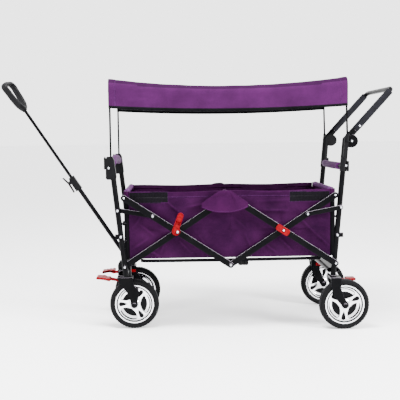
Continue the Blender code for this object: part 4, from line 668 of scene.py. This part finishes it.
def woven_polyester(name, deep, pale, thread, sheen, tint, creases=0.0):
    """Basket weave on the piece's cut; thread is its spacing in metres."""
    finish, tree, shader = new_finish(name, {"IOR": 1.5, "Specular IOR Level": 0.01, "Sheen Weight": sheen,
                                             "Sheen Roughness": 0.35, "Sheen Tint": linear(tint)})
    cut = add_node(tree, "UVMap", uv_map="cut").outputs["UV"]
    where = add_node(tree, "TexCoord").outputs["Object"]
    axes = add_node(tree, "SeparateXYZ", {0: cut}).outputs
    ridges = []
    for axis in ("X", "Y"):
        wave = add_node(tree, "Math", {0: axes[axis], 1: math.pi / thread}, operation="MULTIPLY")
        wave = add_node(tree, "Math", {0: wave}, operation="SINE")
        ridges.append(add_node(tree, "Math", {0: wave}, operation="ABSOLUTE"))
    checks = add_node(tree, "TexChecker", {"Vector": cut, "Scale": 1 / thread}).outputs["Fac"]
    weave = add_node(tree, "Mix", {"Factor": checks, "A": ridges[0], "B": ridges[1]}, data_type="FLOAT")
    cloud = add_node(tree, "TexNoise", {"Vector": where, "Scale": 9.0, "Detail": 5.0, "Roughness": 0.6})
    slub = add_node(tree, "TexNoise", {"Vector": cut, "Scale": 420.0, "Detail": 2.0})
    mixed = add_node(tree, "Math", {0: cloud, 1: 0.75}, operation="MULTIPLY")
    mixed = add_node(tree, "Math", {0: slub, 1: 0.25, 2: mixed}, operation="MULTIPLY_ADD")
    dyed = add_node(tree, "ValToRGB", {"Fac": mixed}, stops=[(0.36, deep), (0.64, pale)])
    # The colour is darker where the threads dip, painted shade in the weave's hollows
    weave_hollow_shade = add_node(tree, "MapRange", {"Value": weave, "To Min": 0.80, "To Max": 1.06})
    # Where a panel carries painted crease light, crease tops are paler as a painted highlight and crease feet darker
    # as painted shade
    painted_crease_light = add_node(tree, "Attribute", attribute_name="painted_crease_light").outputs["Fac"]
    crease_light_scale = add_node(tree, "MapRange", {"Value": painted_crease_light, "From Min": -1.0, "From Max": 1.0,
                                       "To Min": 0.45, "To Max": 1.55})
    for tone in (weave_hollow_shade, crease_light_scale):
        dyed = add_node(tree, "VectorMath", {0: dyed, "Scale": tone}, operation="SCALE")
    gloss = add_node(tree, "MapRange", {"Value": mixed, "To Min": 0.50, "To Max": 0.72})
    bump = add_node(tree, "Bump", {"Strength": 0.45, "Distance": 0.00025, "Height": weave})
    # Handling creases, some 60 mm long and under a millimetre deep
    pulled = add_node(tree, "Mapping", {"Vector": where, "Rotation": (0.0, 0.6, 0.0), "Scale": (1.0, 1.0, 2.6)})
    crumpled = add_node(tree, "TexNoise", {"Vector": pulled, "Scale": 8.0, "Detail": 3.0, "Distortion": 0.8},
                        noise_type="RIDGED_MULTIFRACTAL")
    bump = add_node(tree, "Bump", {"Strength": creases, "Distance": 0.007, "Height": crumpled, "Normal": bump})
    feed(tree, shader, {"Base Color": dyed, "Roughness": gloss, "Normal": bump})
    return finish


# Threads of 600 denier yarn lie 0.9 mm apart
YARN = 0.0009
canopy_cloth = woven_polyester("purple_canopy_polyester", "#270c29", "#331135", YARN, 0.01, "#a04fae", 0.3)
# The top faces take a darker copy of the canopy cloth, painted shade that offsets the light from above
canopy_top_painted_shade = woven_polyester("purple_canopy_top_painted_shade", "#1c071e", "#250b27", YARN, 0.01, "#a04fae", 0.5)
canopy_lining = woven_polyester("grey_coated_canopy_lining", "#1f1e21", "#2a292d", YARN, 0.02, "#909090")
black_tape = woven_polyester("black_grosgrain_binding", "#040405", "#09090b", 0.0012, 0.01, "#8a8a90")


def skin_faces(tall, wide):
    """Faces of two skins on a grid, a pair for each cell, and then of the rim between them."""
    size, faces = tall * wide, []
    for i in range(tall - 1):
        for j in range(wide - 1):
            a = i * wide + j
            faces.append((a, a + wide, a + wide + 1, a + 1))
            faces.append((size + a, size + a + 1, size + a + wide + 1, size + a + wide))
    rim = list(range(wide - 1)) + [i * wide + wide - 1 for i in range(tall - 1)]
    rim += [(tall - 1) * wide + j for j in range(wide - 1, 0, -1)] + [i * wide for i in range(tall - 1, 0, -1)]
    return faces + [(a, b, size + b, size + a) for a, b in zip(rim, rim[1:] + rim[:1])]


def cloth_sheet(name, rows, thickness, finishes, finish_of=None, lining=None):
    """Closed thin sheet on a grid of mid-surface points, and its flat size."""
    grid = np.array([[tuple(p) for p in row] for row in rows])
    tall, wide = grid.shape[:2]
    normal = np.cross(np.gradient(grid, axis=0), np.gradient(grid, axis=1))
    normal /= np.linalg.norm(normal, axis=2, keepdims=True)
    step_u = np.linalg.norm(np.diff(grid, axis=1), axis=2)
    step_v = np.linalg.norm(np.diff(grid, axis=0), axis=2)
    u = np.concatenate([np.zeros((tall, 1)), np.cumsum(step_u, axis=1)], axis=1)
    v = np.concatenate([np.zeros((1, wide)), np.cumsum(step_v, axis=0)], axis=0)
    skins = [grid + normal * thickness / 2, grid - normal * thickness / 2]
    points = np.concatenate([skin.reshape(-1, 3) for skin in skins])
    uvs = np.concatenate([np.stack([u, v], axis=2).reshape(-1, 2)] * 2)
    faces = skin_faces(tall, wide)
    kinds = [0] * len(faces)
    if finish_of:
        cells = [finish_of(i, j) for i in range(tall - 1) for j in range(wide - 1)]
        kinds[:2 * len(cells)] = [kind for cell in cells for kind in (cell, lining)]
    made = object_from(name, points, faces, finishes, uvs=uvs, finish_of=kinds)
    return made, (float(step_u.sum(axis=1).mean()), float(step_v.sum(axis=0).mean()))


def wavy(x, y, z):
    """Smooth noise from -1 to 1."""
    return noise.noise(Vector((x, y, z)))


low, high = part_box("canopy")
CANOPY_FRONT, CANOPY_REAR, CANOPY_TOP = low.x, high.x, high.z
CANOPY_HALF, SKIRT, SHOULDER, POCKET = 0.242, 0.114, 0.034, 0.028
# What the cover loses in height, half width and skirt in the middle between the bows
SAG, WAIST, LIFTED = 0.030, 0.006, 0.015
CLOTH_HALF = 0.0008


def canopy_shape(x, girth):
    """Point of the cover's middle surface, its outward normal, and how far down it hangs.

    girth runs from -1 at the left edge, over the top, to 1 at the right edge.
    """
    s = (x - CANOPY_FRONT) / (CANOPY_REAR - CANOPY_FRONT)
    belly = 4 * s * (1 - s)
    top = CANOPY_TOP - SAG * belly - CLOTH_HALF
    half = CANOPY_HALF - WAIST * belly - CLOTH_HALF
    roof, bend, drop = half - SHOULDER, SHOULDER * math.pi / 2, SKIRT - LIFTED * belly - SHOULDER
    reach = abs(girth) * (roof + bend + drop)
    side = 1 if girth >= 0 else -1
    turn = min(math.pi / 2, max(0.0, reach - roof) / SHOULDER)
    y = min(reach, roof) + SHOULDER * math.sin(turn)
    z = top - SHOULDER + SHOULDER * math.cos(turn) - max(0.0, reach - roof - bend)
    hang = max(0.0, (reach - roof) / (bend + drop))
    return Vector((x, side * y, z)), Vector((0, side * math.sin(turn), math.cos(turn))), hang


def canopy_point(x, girth):
    place, normal, hang = canopy_shape(x, girth)
    from_end = min(x - CANOPY_FRONT, CANOPY_REAR - x)
    inside = min(1.0, from_end / 0.10)
    seam = math.exp(-((from_end - POCKET) / 0.0016) ** 2)
    pocket = math.sin(math.pi * min(from_end, POCKET) / POCKET) if from_end < POCKET else 0.0
    waves = wavy(x * 7.0, place.y * 3.0, place.z * 4.0 + 3.1)
    tucks = wavy(x * 3.0, place.y * 55.0, place.z * 55.0) * math.exp(-from_end / 0.05)
    pull = wavy(x * 16.0 + place.z * 22.0, place.y * 8.0, place.z * 6.0 - 5.0)
    out = 0.0016 * waves * inside * (0.4 + hang) + 0.0009 * tucks + 0.0011 * pull * inside
    return place + normal * (out + 0.0010 * pocket - 0.0009 * seam - 0.0006)


ends = [0.0, 0.002, 0.006, 0.010, 0.014, 0.018, 0.022, 0.0255, 0.0272, 0.028, 0.0288, 0.0305, 0.034, 0.039, 0.045]
between = np.linspace(0.055, CANOPY_REAR - CANOPY_FRONT - 0.055, 72)
xs = [CANOPY_FRONT + e for e in ends] + [CANOPY_FRONT + m for m in between] + [CANOPY_REAR - e for e in ends[::-1]]
girths = list(np.linspace(-1, 1, 97))
rows = [[canopy_point(x, g) for g in girths] for x in xs]
# Faces that look up take the darker copy, painted shade on the canopy's top
canopy, flat = cloth_sheet("canopy_cover", rows, 0.0012, [canopy_cloth, canopy_lining, canopy_top_painted_shade],
                           lambda i, j: 2 if canopy_shape(xs[i], girths[j])[1].z > 0.45 else 0, 1)


def crumple(piece):
    """Gives a soft piece its own copy of its mesh."""
    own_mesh(piece)


def sewn_rows(name, lines, width=0.0008, pitch=0.0045, length=0.0032):
    """Rows of lock stitches on lines of (point, outward normal) pairs."""
    points, faces = [], []
    for line in lines:
        gone = 0.0
        for (a, na), (b, nb) in zip(line, line[1:]):
            step = (b - a).length
            while gone < step:
                place, out = a.lerp(b, gone / step), na.lerp(nb, gone / step).normalized()
                heading = (b - a).normalized()
                aside = heading.cross(out)
                base = len(points)
                for t, w, h in ((-0.5, 0.25, -0.2), (-0.2, 0.5, 0.3), (0.2, 0.5, 0.3), (0.5, 0.25, -0.2)):
                    spot = place + heading * t * length + out * h * width
                    points += [spot + aside * w * width, spot + out * w * width, spot - aside * w * width]
                for r in (base, base + 3, base + 6):
                    faces += [(r, r + 1, r + 4, r + 3), (r + 1, r + 2, r + 5, r + 4)]
                gone += pitch
            gone -= step
    return object_from(name, points, faces, [purple_thread])


purple_thread = woven_polyester("purple_sewing_thread", "#3a1a40", "#502858", 0.0004, 0.1, "#c0a0c8")
lines = []
for x in (CANOPY_FRONT + POCKET, CANOPY_FRONT + POCKET - 0.003, CANOPY_REAR - POCKET, CANOPY_REAR - POCKET + 0.003):
    normals = [(g, canopy_shape(x, g)[1]) for g in np.linspace(-0.985, 0.985, 120)]
    lines.append([(canopy_point(x, g) + normal * 0.0009, normal) for g, normal in normals])
canopy_seams = sewn_rows("canopy_pocket_stitches", lines)

# Section of the folded tape, which grips the edge of the cloth
TAPE, OUTER, INNER = 0.009, 0.0016, 0.0009
TAPE_SECTION = [(OUTER, TAPE), (OUTER, 0.0004), (0.0007, -0.0012), (-0.0007, -0.0012), (-OUTER, 0.0004),
                (-OUTER, TAPE), (-INNER, TAPE), (-INNER, 0.0), (INNER, 0.0), (INNER, TAPE)]
hems = [swept("canopy_hem_" + label, [canopy_point(x, float(side)) for x in xs], lambda i, share: TAPE_SECTION,
              [black_tape], cut=lambda p: (p.x, p.z)) for label, side in MIRROR.items()]
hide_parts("canopy")
for piece in (canopy, canopy_seams, *hems):
    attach(piece, "front_frame")
    crumple(piece)

# Tub: sides, end panels and flaps cut from the same coated polyester in a darker purple.
# The sides are sewn to the floor and hang from the corner posts; the scissor bars pull the
# cloth into long slanting folds. Ribbed black mesh is let in at the upper corners.

tub_cloth = woven_polyester("purple_tub_polyester", "#170419", "#270a27", YARN, 0.01, "#9040a0", 0.3)
flap_cloth = woven_polyester("purple_flap_polyester", "#1d051e", "#2b0a2a", YARN, 0.01, "#9040a0", 0.6)
ribbed_mesh, tree, shader = new_finish("black_ribbed_polyester_mesh", {"IOR": 1.5, "Specular IOR Level": 0.01,
                                                                    "Sheen Weight": 0.03})
cut = add_node(tree, "UVMap", uv_map="cut").outputs["UV"]
axes = add_node(tree, "SeparateXYZ", {0: cut}).outputs
# Ribs of the knitted mesh stand 6 mm apart, and its holes 1.6 mm
ribs = add_node(tree, "Math", {0: axes["X"], 1: 2 * math.pi / 0.006}, operation="MULTIPLY")
ribs = add_node(tree, "Math", {0: ribs}, operation="SINE")
holes = add_node(tree, "TexVoronoi", {"Vector": cut, "Scale": 625.0}, feature="F1")
ribbed = add_node(tree, "Math", {0: ribs, 1: 0.16, 2: holes}, operation="MULTIPLY_ADD")
shade = add_node(tree, "ValToRGB", {"Fac": ribbed}, stops=[(0.18, "#010101"), (0.58, "#0b090d")])
gloss = add_node(tree, "MapRange", {"Value": holes, "To Min": 0.8, "To Max": 0.55})
relief = add_node(tree, "Math", {0: ribs, 1: 0.5, 2: holes}, operation="MULTIPLY_ADD")
bump = add_node(tree, "Bump", {"Strength": 0.6, "Distance": 0.0009, "Height": relief})
feed(tree, shader, {"Base Color": shade, "Roughness": gloss, "Normal": bump})

low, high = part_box("tub_side_left")
TUB_FRONT, TUB_REAR, FLOOR_LEVEL, RIM_LEVEL = low.x, high.x, low.z, high.z
TUB_CENTRE = ORIGIN_X - 0.03275
PANEL_FACE, RIM_BAND = 0.2085, 0.022
PATCHES = [(ORIGIN_X - 0.4305, ORIGIN_X - 0.278, 0.514, 0.557), (ORIGIN_X + 0.206, ORIGIN_X + 0.366, 0.512, 0.552)]
# Sharp creases left by the packing, as lines on the panel in wagon millimetres: along, up
CREASES = [(-283, 519, -234, 475), (-369, 480, -420, 415), (-393, 431, -331, 383), (-425, 328, -358, 374),
           (-285, 366, -313, 313), (-246, 372, -187, 311), (-211, 494, -125, 510), (-198, 451, -132, 473),
           (-159, 384, -107, 303), (-365, 327, -313, 303), (57, 552, 203, 554), (69, 515, 216, 520),
           (85, 481, 203, 476), (197, 419, 248, 447), (248, 449, 357, 474), (248, 447, 306, 385),
           (306, 385, 367, 332), (24, 389, 65, 305), (107, 343, 158, 306), (158, 374, 216, 315),
           (-14, 448, 30, 408)]


def near_creases(x, z):
    """Distance to each crease and how strong it is there."""
    for number, (x0, z0, x1, z1) in enumerate(CREASES):
        ax, az, dx, dz = x0 / 1000 + ORIGIN_X, z0 / 1000, (x1 - x0) / 1000, (z1 - z0) / 1000
        t = min(1.0, max(0.0, ((x - ax) * dx + (z - az) * dz) / (dx * dx + dz * dz)))
        yield math.hypot(x - ax - t * dx, z - az - t * dz), (1 - 0.16 * (number % 3)) * (1 - 0.8 * abs(2 * t - 1) ** 2)


def side_edges(x):
    """Heights of a side panel's foot and rim."""
    s = (x - TUB_FRONT) / (TUB_REAR - TUB_FRONT)
    foot = FLOOR_LEVEL + 0.0008 + 0.0030 * abs(math.sin(2 * math.pi * s)) ** 1.5
    return foot, RIM_LEVEL - 0.0016 - 0.004 * math.sin(math.pi * min(1, abs(x - TUB_CENTRE) / 0.38)) ** 2


def side_point(x, share, side):
    """Point of a side panel; share runs from 0 at the floor seam to 1 at the rim."""
    foot, rim = side_edges(x)
    z = foot + (rim - foot) * share
    edge = min(1.0, min(x - TUB_FRONT, TUB_REAR - x) / 0.03)
    hold = math.sin(math.pi * share) ** 0.6 * edge
    fold = 0.0
    for cx, cz in CROSSINGS:
        turn, away = math.atan2(z - cz, x - cx), math.hypot(x - cx, z - cz)
        fold += 0.0030 * math.cos(6 * turn + 1.3 * side) * math.exp(-((away - 0.09) / 0.07) ** 2)
    lean = 1 if (x < CROSSINGS[0][0] or TUB_CENTRE < x < CROSSINGS[1][0]) == (z > CROSSINGS[0][1]) else -1
    slant = wavy(11 * x + 15 * z * lean, 4.0 * z, side * 4.0 + lean)
    ridge = 0.55 - abs(wavy(7 * x - 13 * z * lean, 3.0 * z, side * 9.0 + 3 * lean)) * 2.4
    small = wavy(34 * x, 60 * z, side * 7.0 + 2.0)
    drape = wavy(5 * x, 16 * z, side * 3.0 - 6.0)
    packed = sum(0.0100 * strong * math.exp(-away / 0.0085) for away, strong in near_creases(x, z))
    out = hold * (fold * 1.2 + 0.0045 * slant + 0.0030 * min(ridge, 0.3) + 0.0008 * small + 0.0020 * drape +
                  packed - 0.0058)
    out += 0.0022 * math.sin(math.pi * share) * edge
    out += 0.0008 * math.sin(x * 330) * math.exp(-((share - 0.02) / 0.05) ** 2)
    # The cloth is pressed softly against the bars, 3 mm out; the rim is doubled and stitched
    out = 0.0030 - math.log1p(math.exp((0.0030 - out) * 900)) / 900
    out += 0.0005 * (rim - z < RIM_BAND) - 0.0006 * math.exp(-((rim - z - RIM_BAND) / 0.0014) ** 2)
    return Vector((x, side * (PANEL_FACE + max(out, -0.0130)), z))


patch_edges = [edge for patch in PATCHES for edge in patch[:2]]
xs = sorted([*np.linspace(TUB_FRONT + 0.0005, TUB_REAR - 0.0005, 190), *patch_edges])
shares = sorted([*np.linspace(0, 1, 58), 0.912, 0.918, 0.924, 0.930])
for label, side in MIRROR.items():
    rows = [[side_point(x, share, side) for x in xs][::side] for share in shares]

    def patch_face(i, j, rows=rows):
        spot = (rows[i][j] + rows[i + 1][j + 1]) / 2
        return int(any(x0 < spot.x < x1 and z0 < spot.z < z1 for x0, x1, z0, z1 in PATCHES))

    panel, flat = cloth_sheet("tub_side_panel_" + label, rows, 0.0016, [tub_cloth, ribbed_mesh], patch_face, 0)
    # Painted light on the packing creases: a painted highlight along each crease and painted shade beside it
    wear_and_painted_crease_light = [sum(strong * (1.2 * math.exp(-(away / 0.004) ** 2) - 0.65 * math.exp(-(away / 0.013) ** 2))
                for away, strong in near_creases(v.co.x, v.co.z)) for v in panel.data.vertices]
    panel.data.attributes.new("painted_crease_light", "FLOAT", "POINT").data.foreach_set("value", wear_and_painted_crease_light)
    lines = []
    outward = Vector((0, side, 0))
    spans = list(zip([TUB_FRONT, *patch_edges[1::2]], [*patch_edges[::2], TUB_REAR]))
    for level in (0.918, 0.926):
        for x0, x1 in spans:
            lines.append([(side_point(x, level, side) + outward * 0.0011, outward) for x in xs if x0 <= x <= x1])
    for x0, x1, z0, z1 in PATCHES:
        corners = [(x0, z0), (x1, z0), (x1, z1), (x0, z1), (x0, z0)]
        border = []
        for (ax, az), (bx, bz) in zip(corners, corners[1:]):
            for k in range(12):
                x, z = ax + (bx - ax) * k / 12, az + (bz - az) * k / 12
                foot, rim = side_edges(x)
                border.append((side_point(x, (z - foot) / (rim - foot), side) + outward * 0.0011, outward))
        lines.append(border)
    stitches = sewn_rows("tub_side_stitches_" + label, lines)
    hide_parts("tub_side_" + label)
    for piece in (panel, stitches):
        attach(piece, "front_frame")
        crumple(piece)

# Centre flaps: a rounded flap on each side, sewn into the rim and turned down over the
# upper joint of the bars, which lifts its middle into a soft peak with creases running off.

FLAP_HALF, FLAP_MIDDLE = 0.0915, TUB_CENTRE - 0.0219
FLAP_SEAM, FLAP_BEND, FLAP_ROWS, FLAP_COLUMNS = 0.2105, 0.010, 26, 48
for label, side in MIRROR.items():
    low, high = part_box("tub_side_" + label)
    face = max(abs(low.y), abs(high.y)) - 0.001
    level_run, bend_run = face - FLAP_SEAM - FLAP_BEND, 0.5 * math.pi * FLAP_BEND
    rows = []
    for i in range(FLAP_ROWS + 1):
        t = i / FLAP_ROWS
        spread = 0.06 + 0.94 * min(1.0, max(0.0, t - 0.22) / 0.60) ** 0.9
        row = []
        for j in range(FLAP_COLUMNS + 1):
            s = -1 + 2 * j / FLAP_COLUMNS
            x = FLAP_MIDDLE + FLAP_HALF * s * spread
            hem = 0.087 - 0.022 * abs(s) ** 2.2
            run = t * (level_run + bend_run + hem - FLAP_BEND)
            turn = min(math.pi / 2, max(0.0, run - level_run) / FLAP_BEND)
            y = FLAP_SEAM + min(run, level_run) + FLAP_BEND * math.sin(turn)
            z = FLAP_BEND * (math.cos(turn) - 1) - max(0.0, run - level_run - bend_run)
            turn = math.atan2(-z - 0.004, x - TUB_CENTRE + 1e-6)
            fan = 0.0026 * math.cos(6 * (turn - 1.05)) * min(1.0, max(0.0, -z - 0.006) / 0.02)
            fan += 0.0012 * wavy(x * 30, z * 22, side * 2.0)
            lift = 0.0030 * math.exp(-((x - TUB_CENTRE) / 0.034) ** 2) * (1 - t)
            row.append(Vector((x, side * (y + max(-0.0012, fan) + 0.0012), RIM_LEVEL + z + lift - 0.0010)))
        rows.append(row[::side])
    flap, flat = cloth_sheet("tub_centre_flap_" + label, rows, 0.0012, [flap_cloth])
    outward = Vector((0, side, 0))
    hem_line = [(a + (b - a).normalized() * 0.004 + outward * 0.0008, outward) for a, b in zip(rows[-1], rows[-2])]
    stitches = sewn_rows("flap_stitches_" + label, [hem_line])
    for piece in (flap, stitches):
        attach(piece, "front_frame")
        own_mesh(piece)

# End panels: the same cloth laced between the corner posts, each with a cloth roll round a
# thin stiffener along its rim. The roll's cloth is a paler copy of the tub cloth, a painted
# highlight where the rim catches the light.

# Paler copy of the tub cloth: painted highlight along the rim rolls
rim_roll_painted_highlight_cloth = woven_polyester("rim_roll_polyester_painted_highlight", "#35173a", "#4a2450", YARN, 0.05, "#c9a0d0", 0.4)
ROLL_RADIUS, ROLL_DROP, ROLL_STATIONS = 0.0105, 0.006, 40
for end, body in (("front", "front_frame"), ("rear", "rear_frame")):
    low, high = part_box(f"tub_{end}_panel")
    x, wide = (low.x + high.x) / 2, high.y - low.y
    rows = []
    for share in (i / 40 for i in range(41)):
        z = low.z + 0.001 + (high.z - low.z - 0.005) * share
        row = []
        for across in (j / 60 for j in range(61)):
            y = low.y + wide * across
            edge = min(1.0, min(y - low.y, high.y - y) / 0.03)
            out = 0.0045 * edge * wavy(y * 9, z * 13, x) + 0.0035 * math.sin(math.pi * across)
            out *= math.sin(math.pi * share) * (1 if end == "rear" else -1)
            row.append(Vector((x + out, y, z)))
        rows.append(row)
    panel, flat = cloth_sheet(f"tub_{end}_wall", rows, 0.0016, [tub_cloth])
    path = [(x, low.y + 0.0005 + (wide - 0.001) * i / (ROLL_STATIONS - 1), high.z - ROLL_DROP)
            for i in range(ROLL_STATIONS)]

    def roll_section(i, share):
        wobble = 0.0006 * wavy(share * 26, x * 9, 0)
        return circle(ROLL_RADIUS + wobble - (0.0012 if i in (0, ROLL_STATIONS - 1) else 0), 24)

    def roll_cut(p):
        return p.y, ROLL_RADIUS * math.atan2(p.z - high.z + ROLL_DROP, p.x - x)

    roll = swept(f"tub_{end}_rim_roll", path, roll_section, [rim_roll_painted_highlight_cloth], cut=roll_cut)
    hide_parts(f"tub_{end}_panel")
    for piece in (panel, roll):
        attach(piece, body)

# Corner sleeves: black cloth sewn into a tube that is pulled down over each corner post and
# closes the corner, with a purple turned hem at the top that is level with the rim.

POST_Y, SLEEVE_BORE, SLEEVE_GIRTH = 0.204, 0.00915, 2 * math.pi * 0.0095
SLEEVE_PARTS = [("tube", black_tape, FLOOR_LEVEL + 0.002, RIM_LEVEL - 0.0235, 0.0006, 46),
                ("hem", flap_cloth, RIM_LEVEL - 0.0235, RIM_LEVEL - 0.0002, 0.0007, 12)]
for end, body in (("front", "front_frame"), ("rear", "rear_frame")):
    low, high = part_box(f"tub_{end}_panel")
    x = (low.x + high.x) / 2
    for label, side in MIRROR.items():
        for part, cloth, z0, z1, thick, steps in SLEEVE_PARTS:
            levels = [z0 + (z1 - z0) * i / steps for i in range(steps + 1)]
            rings, uvs = [], []
            for z, skin in [(z, 1) for z in levels] + [(z, 0) for z in levels[::-1]]:
                ring = []
                for k in range(32):
                    turn = 2 * math.pi * k / 32
                    fold = 0.0002 * math.sin(5 * turn + z * 60) + 0.0002 * wavy(turn * 2, z * 40, x)
                    r = SLEEVE_BORE + skin * (thick + fold)
                    ring.append((x + r * math.cos(turn), side * POST_Y + r * math.sin(turn), z))
                    uvs.append((r * turn, z))
                rings.append(ring)
            sleeve = ringed(f"corner_{part}_{end}_{label}", rings, [cloth], closed=True, uvs=uvs)
            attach(sleeve, body)

# Floor: a cloth-covered board in four parts that fold like a fan, sewn into the sides. Two
# webbing straps run under it from end to end, each with a moulded side-release buckle.

low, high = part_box("tub_floor")
FLOOR_TOP, BOARD_HALF = high.z, 0.2055
FOLDS = [low.x + (high.x - low.x) * k / 4 for k in (1, 2, 3)]
STEPS_ALONG, STEPS_ACROSS = 96, 32
top, bottom = [], []
for i in range(STEPS_ALONG + 1):
    x = low.x + 0.0005 + (high.x - low.x - 0.001) * i / STEPS_ALONG
    crease = max(math.exp(-((x - fold) / 0.006) ** 2) for fold in FOLDS)
    for j in range(STEPS_ACROSS + 1):
        y = BOARD_HALF * (2 * j / STEPS_ACROSS - 1)
        puff = (1 - (2 * j / STEPS_ACROSS - 1) ** 8) * (1 - crease)
        top.append((x, y, FLOOR_TOP - 0.0032 + 0.0030 * puff + 0.0006 * wavy(x * 8, y * 8, 1.0) * puff))
        bottom.append((x, y, FLOOR_TOP - 0.0056 - 0.0006 * puff))
board = object_from("tub_floor_board", top + bottom, skin_faces(STEPS_ALONG + 1, STEPS_ACROSS + 1), [tub_cloth],
                    uvs=[(x, y) for x, y, z in top + bottom])
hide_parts("tub_floor")
floor_pieces = [board]

# Seam strips: the cloth of the walls runs 12 mm down inside and is sewn flat on the board
seams = []
for label, side in MIRROR.items():
    rows = [[side_point(x, share, side) - Vector((0, side * 0.0026, 0)) for x in xs]
            for share in (0.048, 0.036, 0.024, 0.012, 0.002)]
    for y, drop, ripple in ((0.2045, 0.0008, 0.0), (0.2015, 0.0006, 0.0003), (0.1960, 0.0004, 0.0)):
        rows.append([Vector((x, side * y, FLOOR_TOP - drop + ripple * math.sin(x * 420))) for x in xs])
    seams.append(("side_" + label, rows[::-side]))
for end, inward in (("front", 1), ("rear", -1)):
    low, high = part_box(f"tub_{end}_panel")
    x = high.x if inward > 0 else low.x
    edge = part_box("tub_floor")[0 if inward > 0 else 1].x
    bends = [(x + inward * 0.0030, FLOOR_LEVEL + rise) for rise in (0.012, 0.008, 0.004, 0.001)]
    bends += [(edge + inward * reach, FLOOR_TOP - 0.0006) for reach in (0.001, 0.005, 0.010)]
    seams.append((end, [[Vector((x, y, z)) for y in np.linspace(-0.188, 0.188, 60)] for x, z in bends][::inward]))
for place, rows in seams:
    strip, flat = cloth_sheet("floor_seam_" + place, rows, 0.0010, [tub_cloth])
    floor_pieces.append(strip)

STRAP_FRONT, STRAP_REAR = TUB_CENTRE - 0.357, TUB_CENTRE + 0.363
STRAP_Y, STRAP_DROP, STRAP_HALF = 0.2068, 0.0082, 0.0066
BUCKLE_Y, BUCKLE_DROP, BUCKLE_HALF = 0.194, 0.0115, 0.0205
# One side of the buckle from above, where it is waisted for the thumb and finger
BUCKLE_SIDE = [(0.041, 0.009), (0.038, 0.0115), (0.028, 0.0115), (0.024, 0.0085), (0.016, 0.0085), (0.012, 0.0115),
               (0.003, 0.0115), (0, 0.010)]
BUCKLE_LEVELS = [(0.0, 0.90), (-0.0015, 1.0), (-0.017, 1.0), (-0.020, 0.93), (-0.0215, 0.80)]
for label, side in MIRROR.items():
    rows = []
    for share in (i / 89 for i in range(90)):
        x = STRAP_FRONT + (STRAP_REAR - STRAP_FRONT) * share
        rise = 0.0020 * math.exp(-(min(x - STRAP_FRONT, STRAP_REAR - x) / 0.012) ** 2)
        sag = 0.0012 * math.sin(math.pi * share) + 0.0006 * wavy(x * 14, side, 0)
        rows.append([Vector((x, side * (STRAP_Y + 0.0004 * math.cos(math.pi * (j / 3 - 1))),
                             FLOOR_LEVEL - STRAP_DROP + rise - sag + STRAP_HALF * (j / 3 - 1)))
                     for j in range(7)][::side])
    strap, flat = cloth_sheet("floor_strap_" + label, rows, 0.0016, [black_tape])
    outline = [(x, -y) for x, y in BUCKLE_SIDE[::-1]] + BUCKLE_SIDE
    middle = TUB_CENTRE + 0.032 + BUCKLE_HALF
    rings = [[(middle + (x - BUCKLE_HALF) * grow, side * BUCKLE_Y + 0.85 * y * grow, FLOOR_LEVEL - BUCKLE_DROP + drop)
              for x, y in outline] for drop, grow in BUCKLE_LEVELS]
    buckle = ringed("strap_buckle_" + label, rings, [nylon], turned=True, smooth=False)
    floor_pieces += [strap, buckle]
for piece in floor_pieces:
    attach(piece, "front_frame")
    crumple(piece)
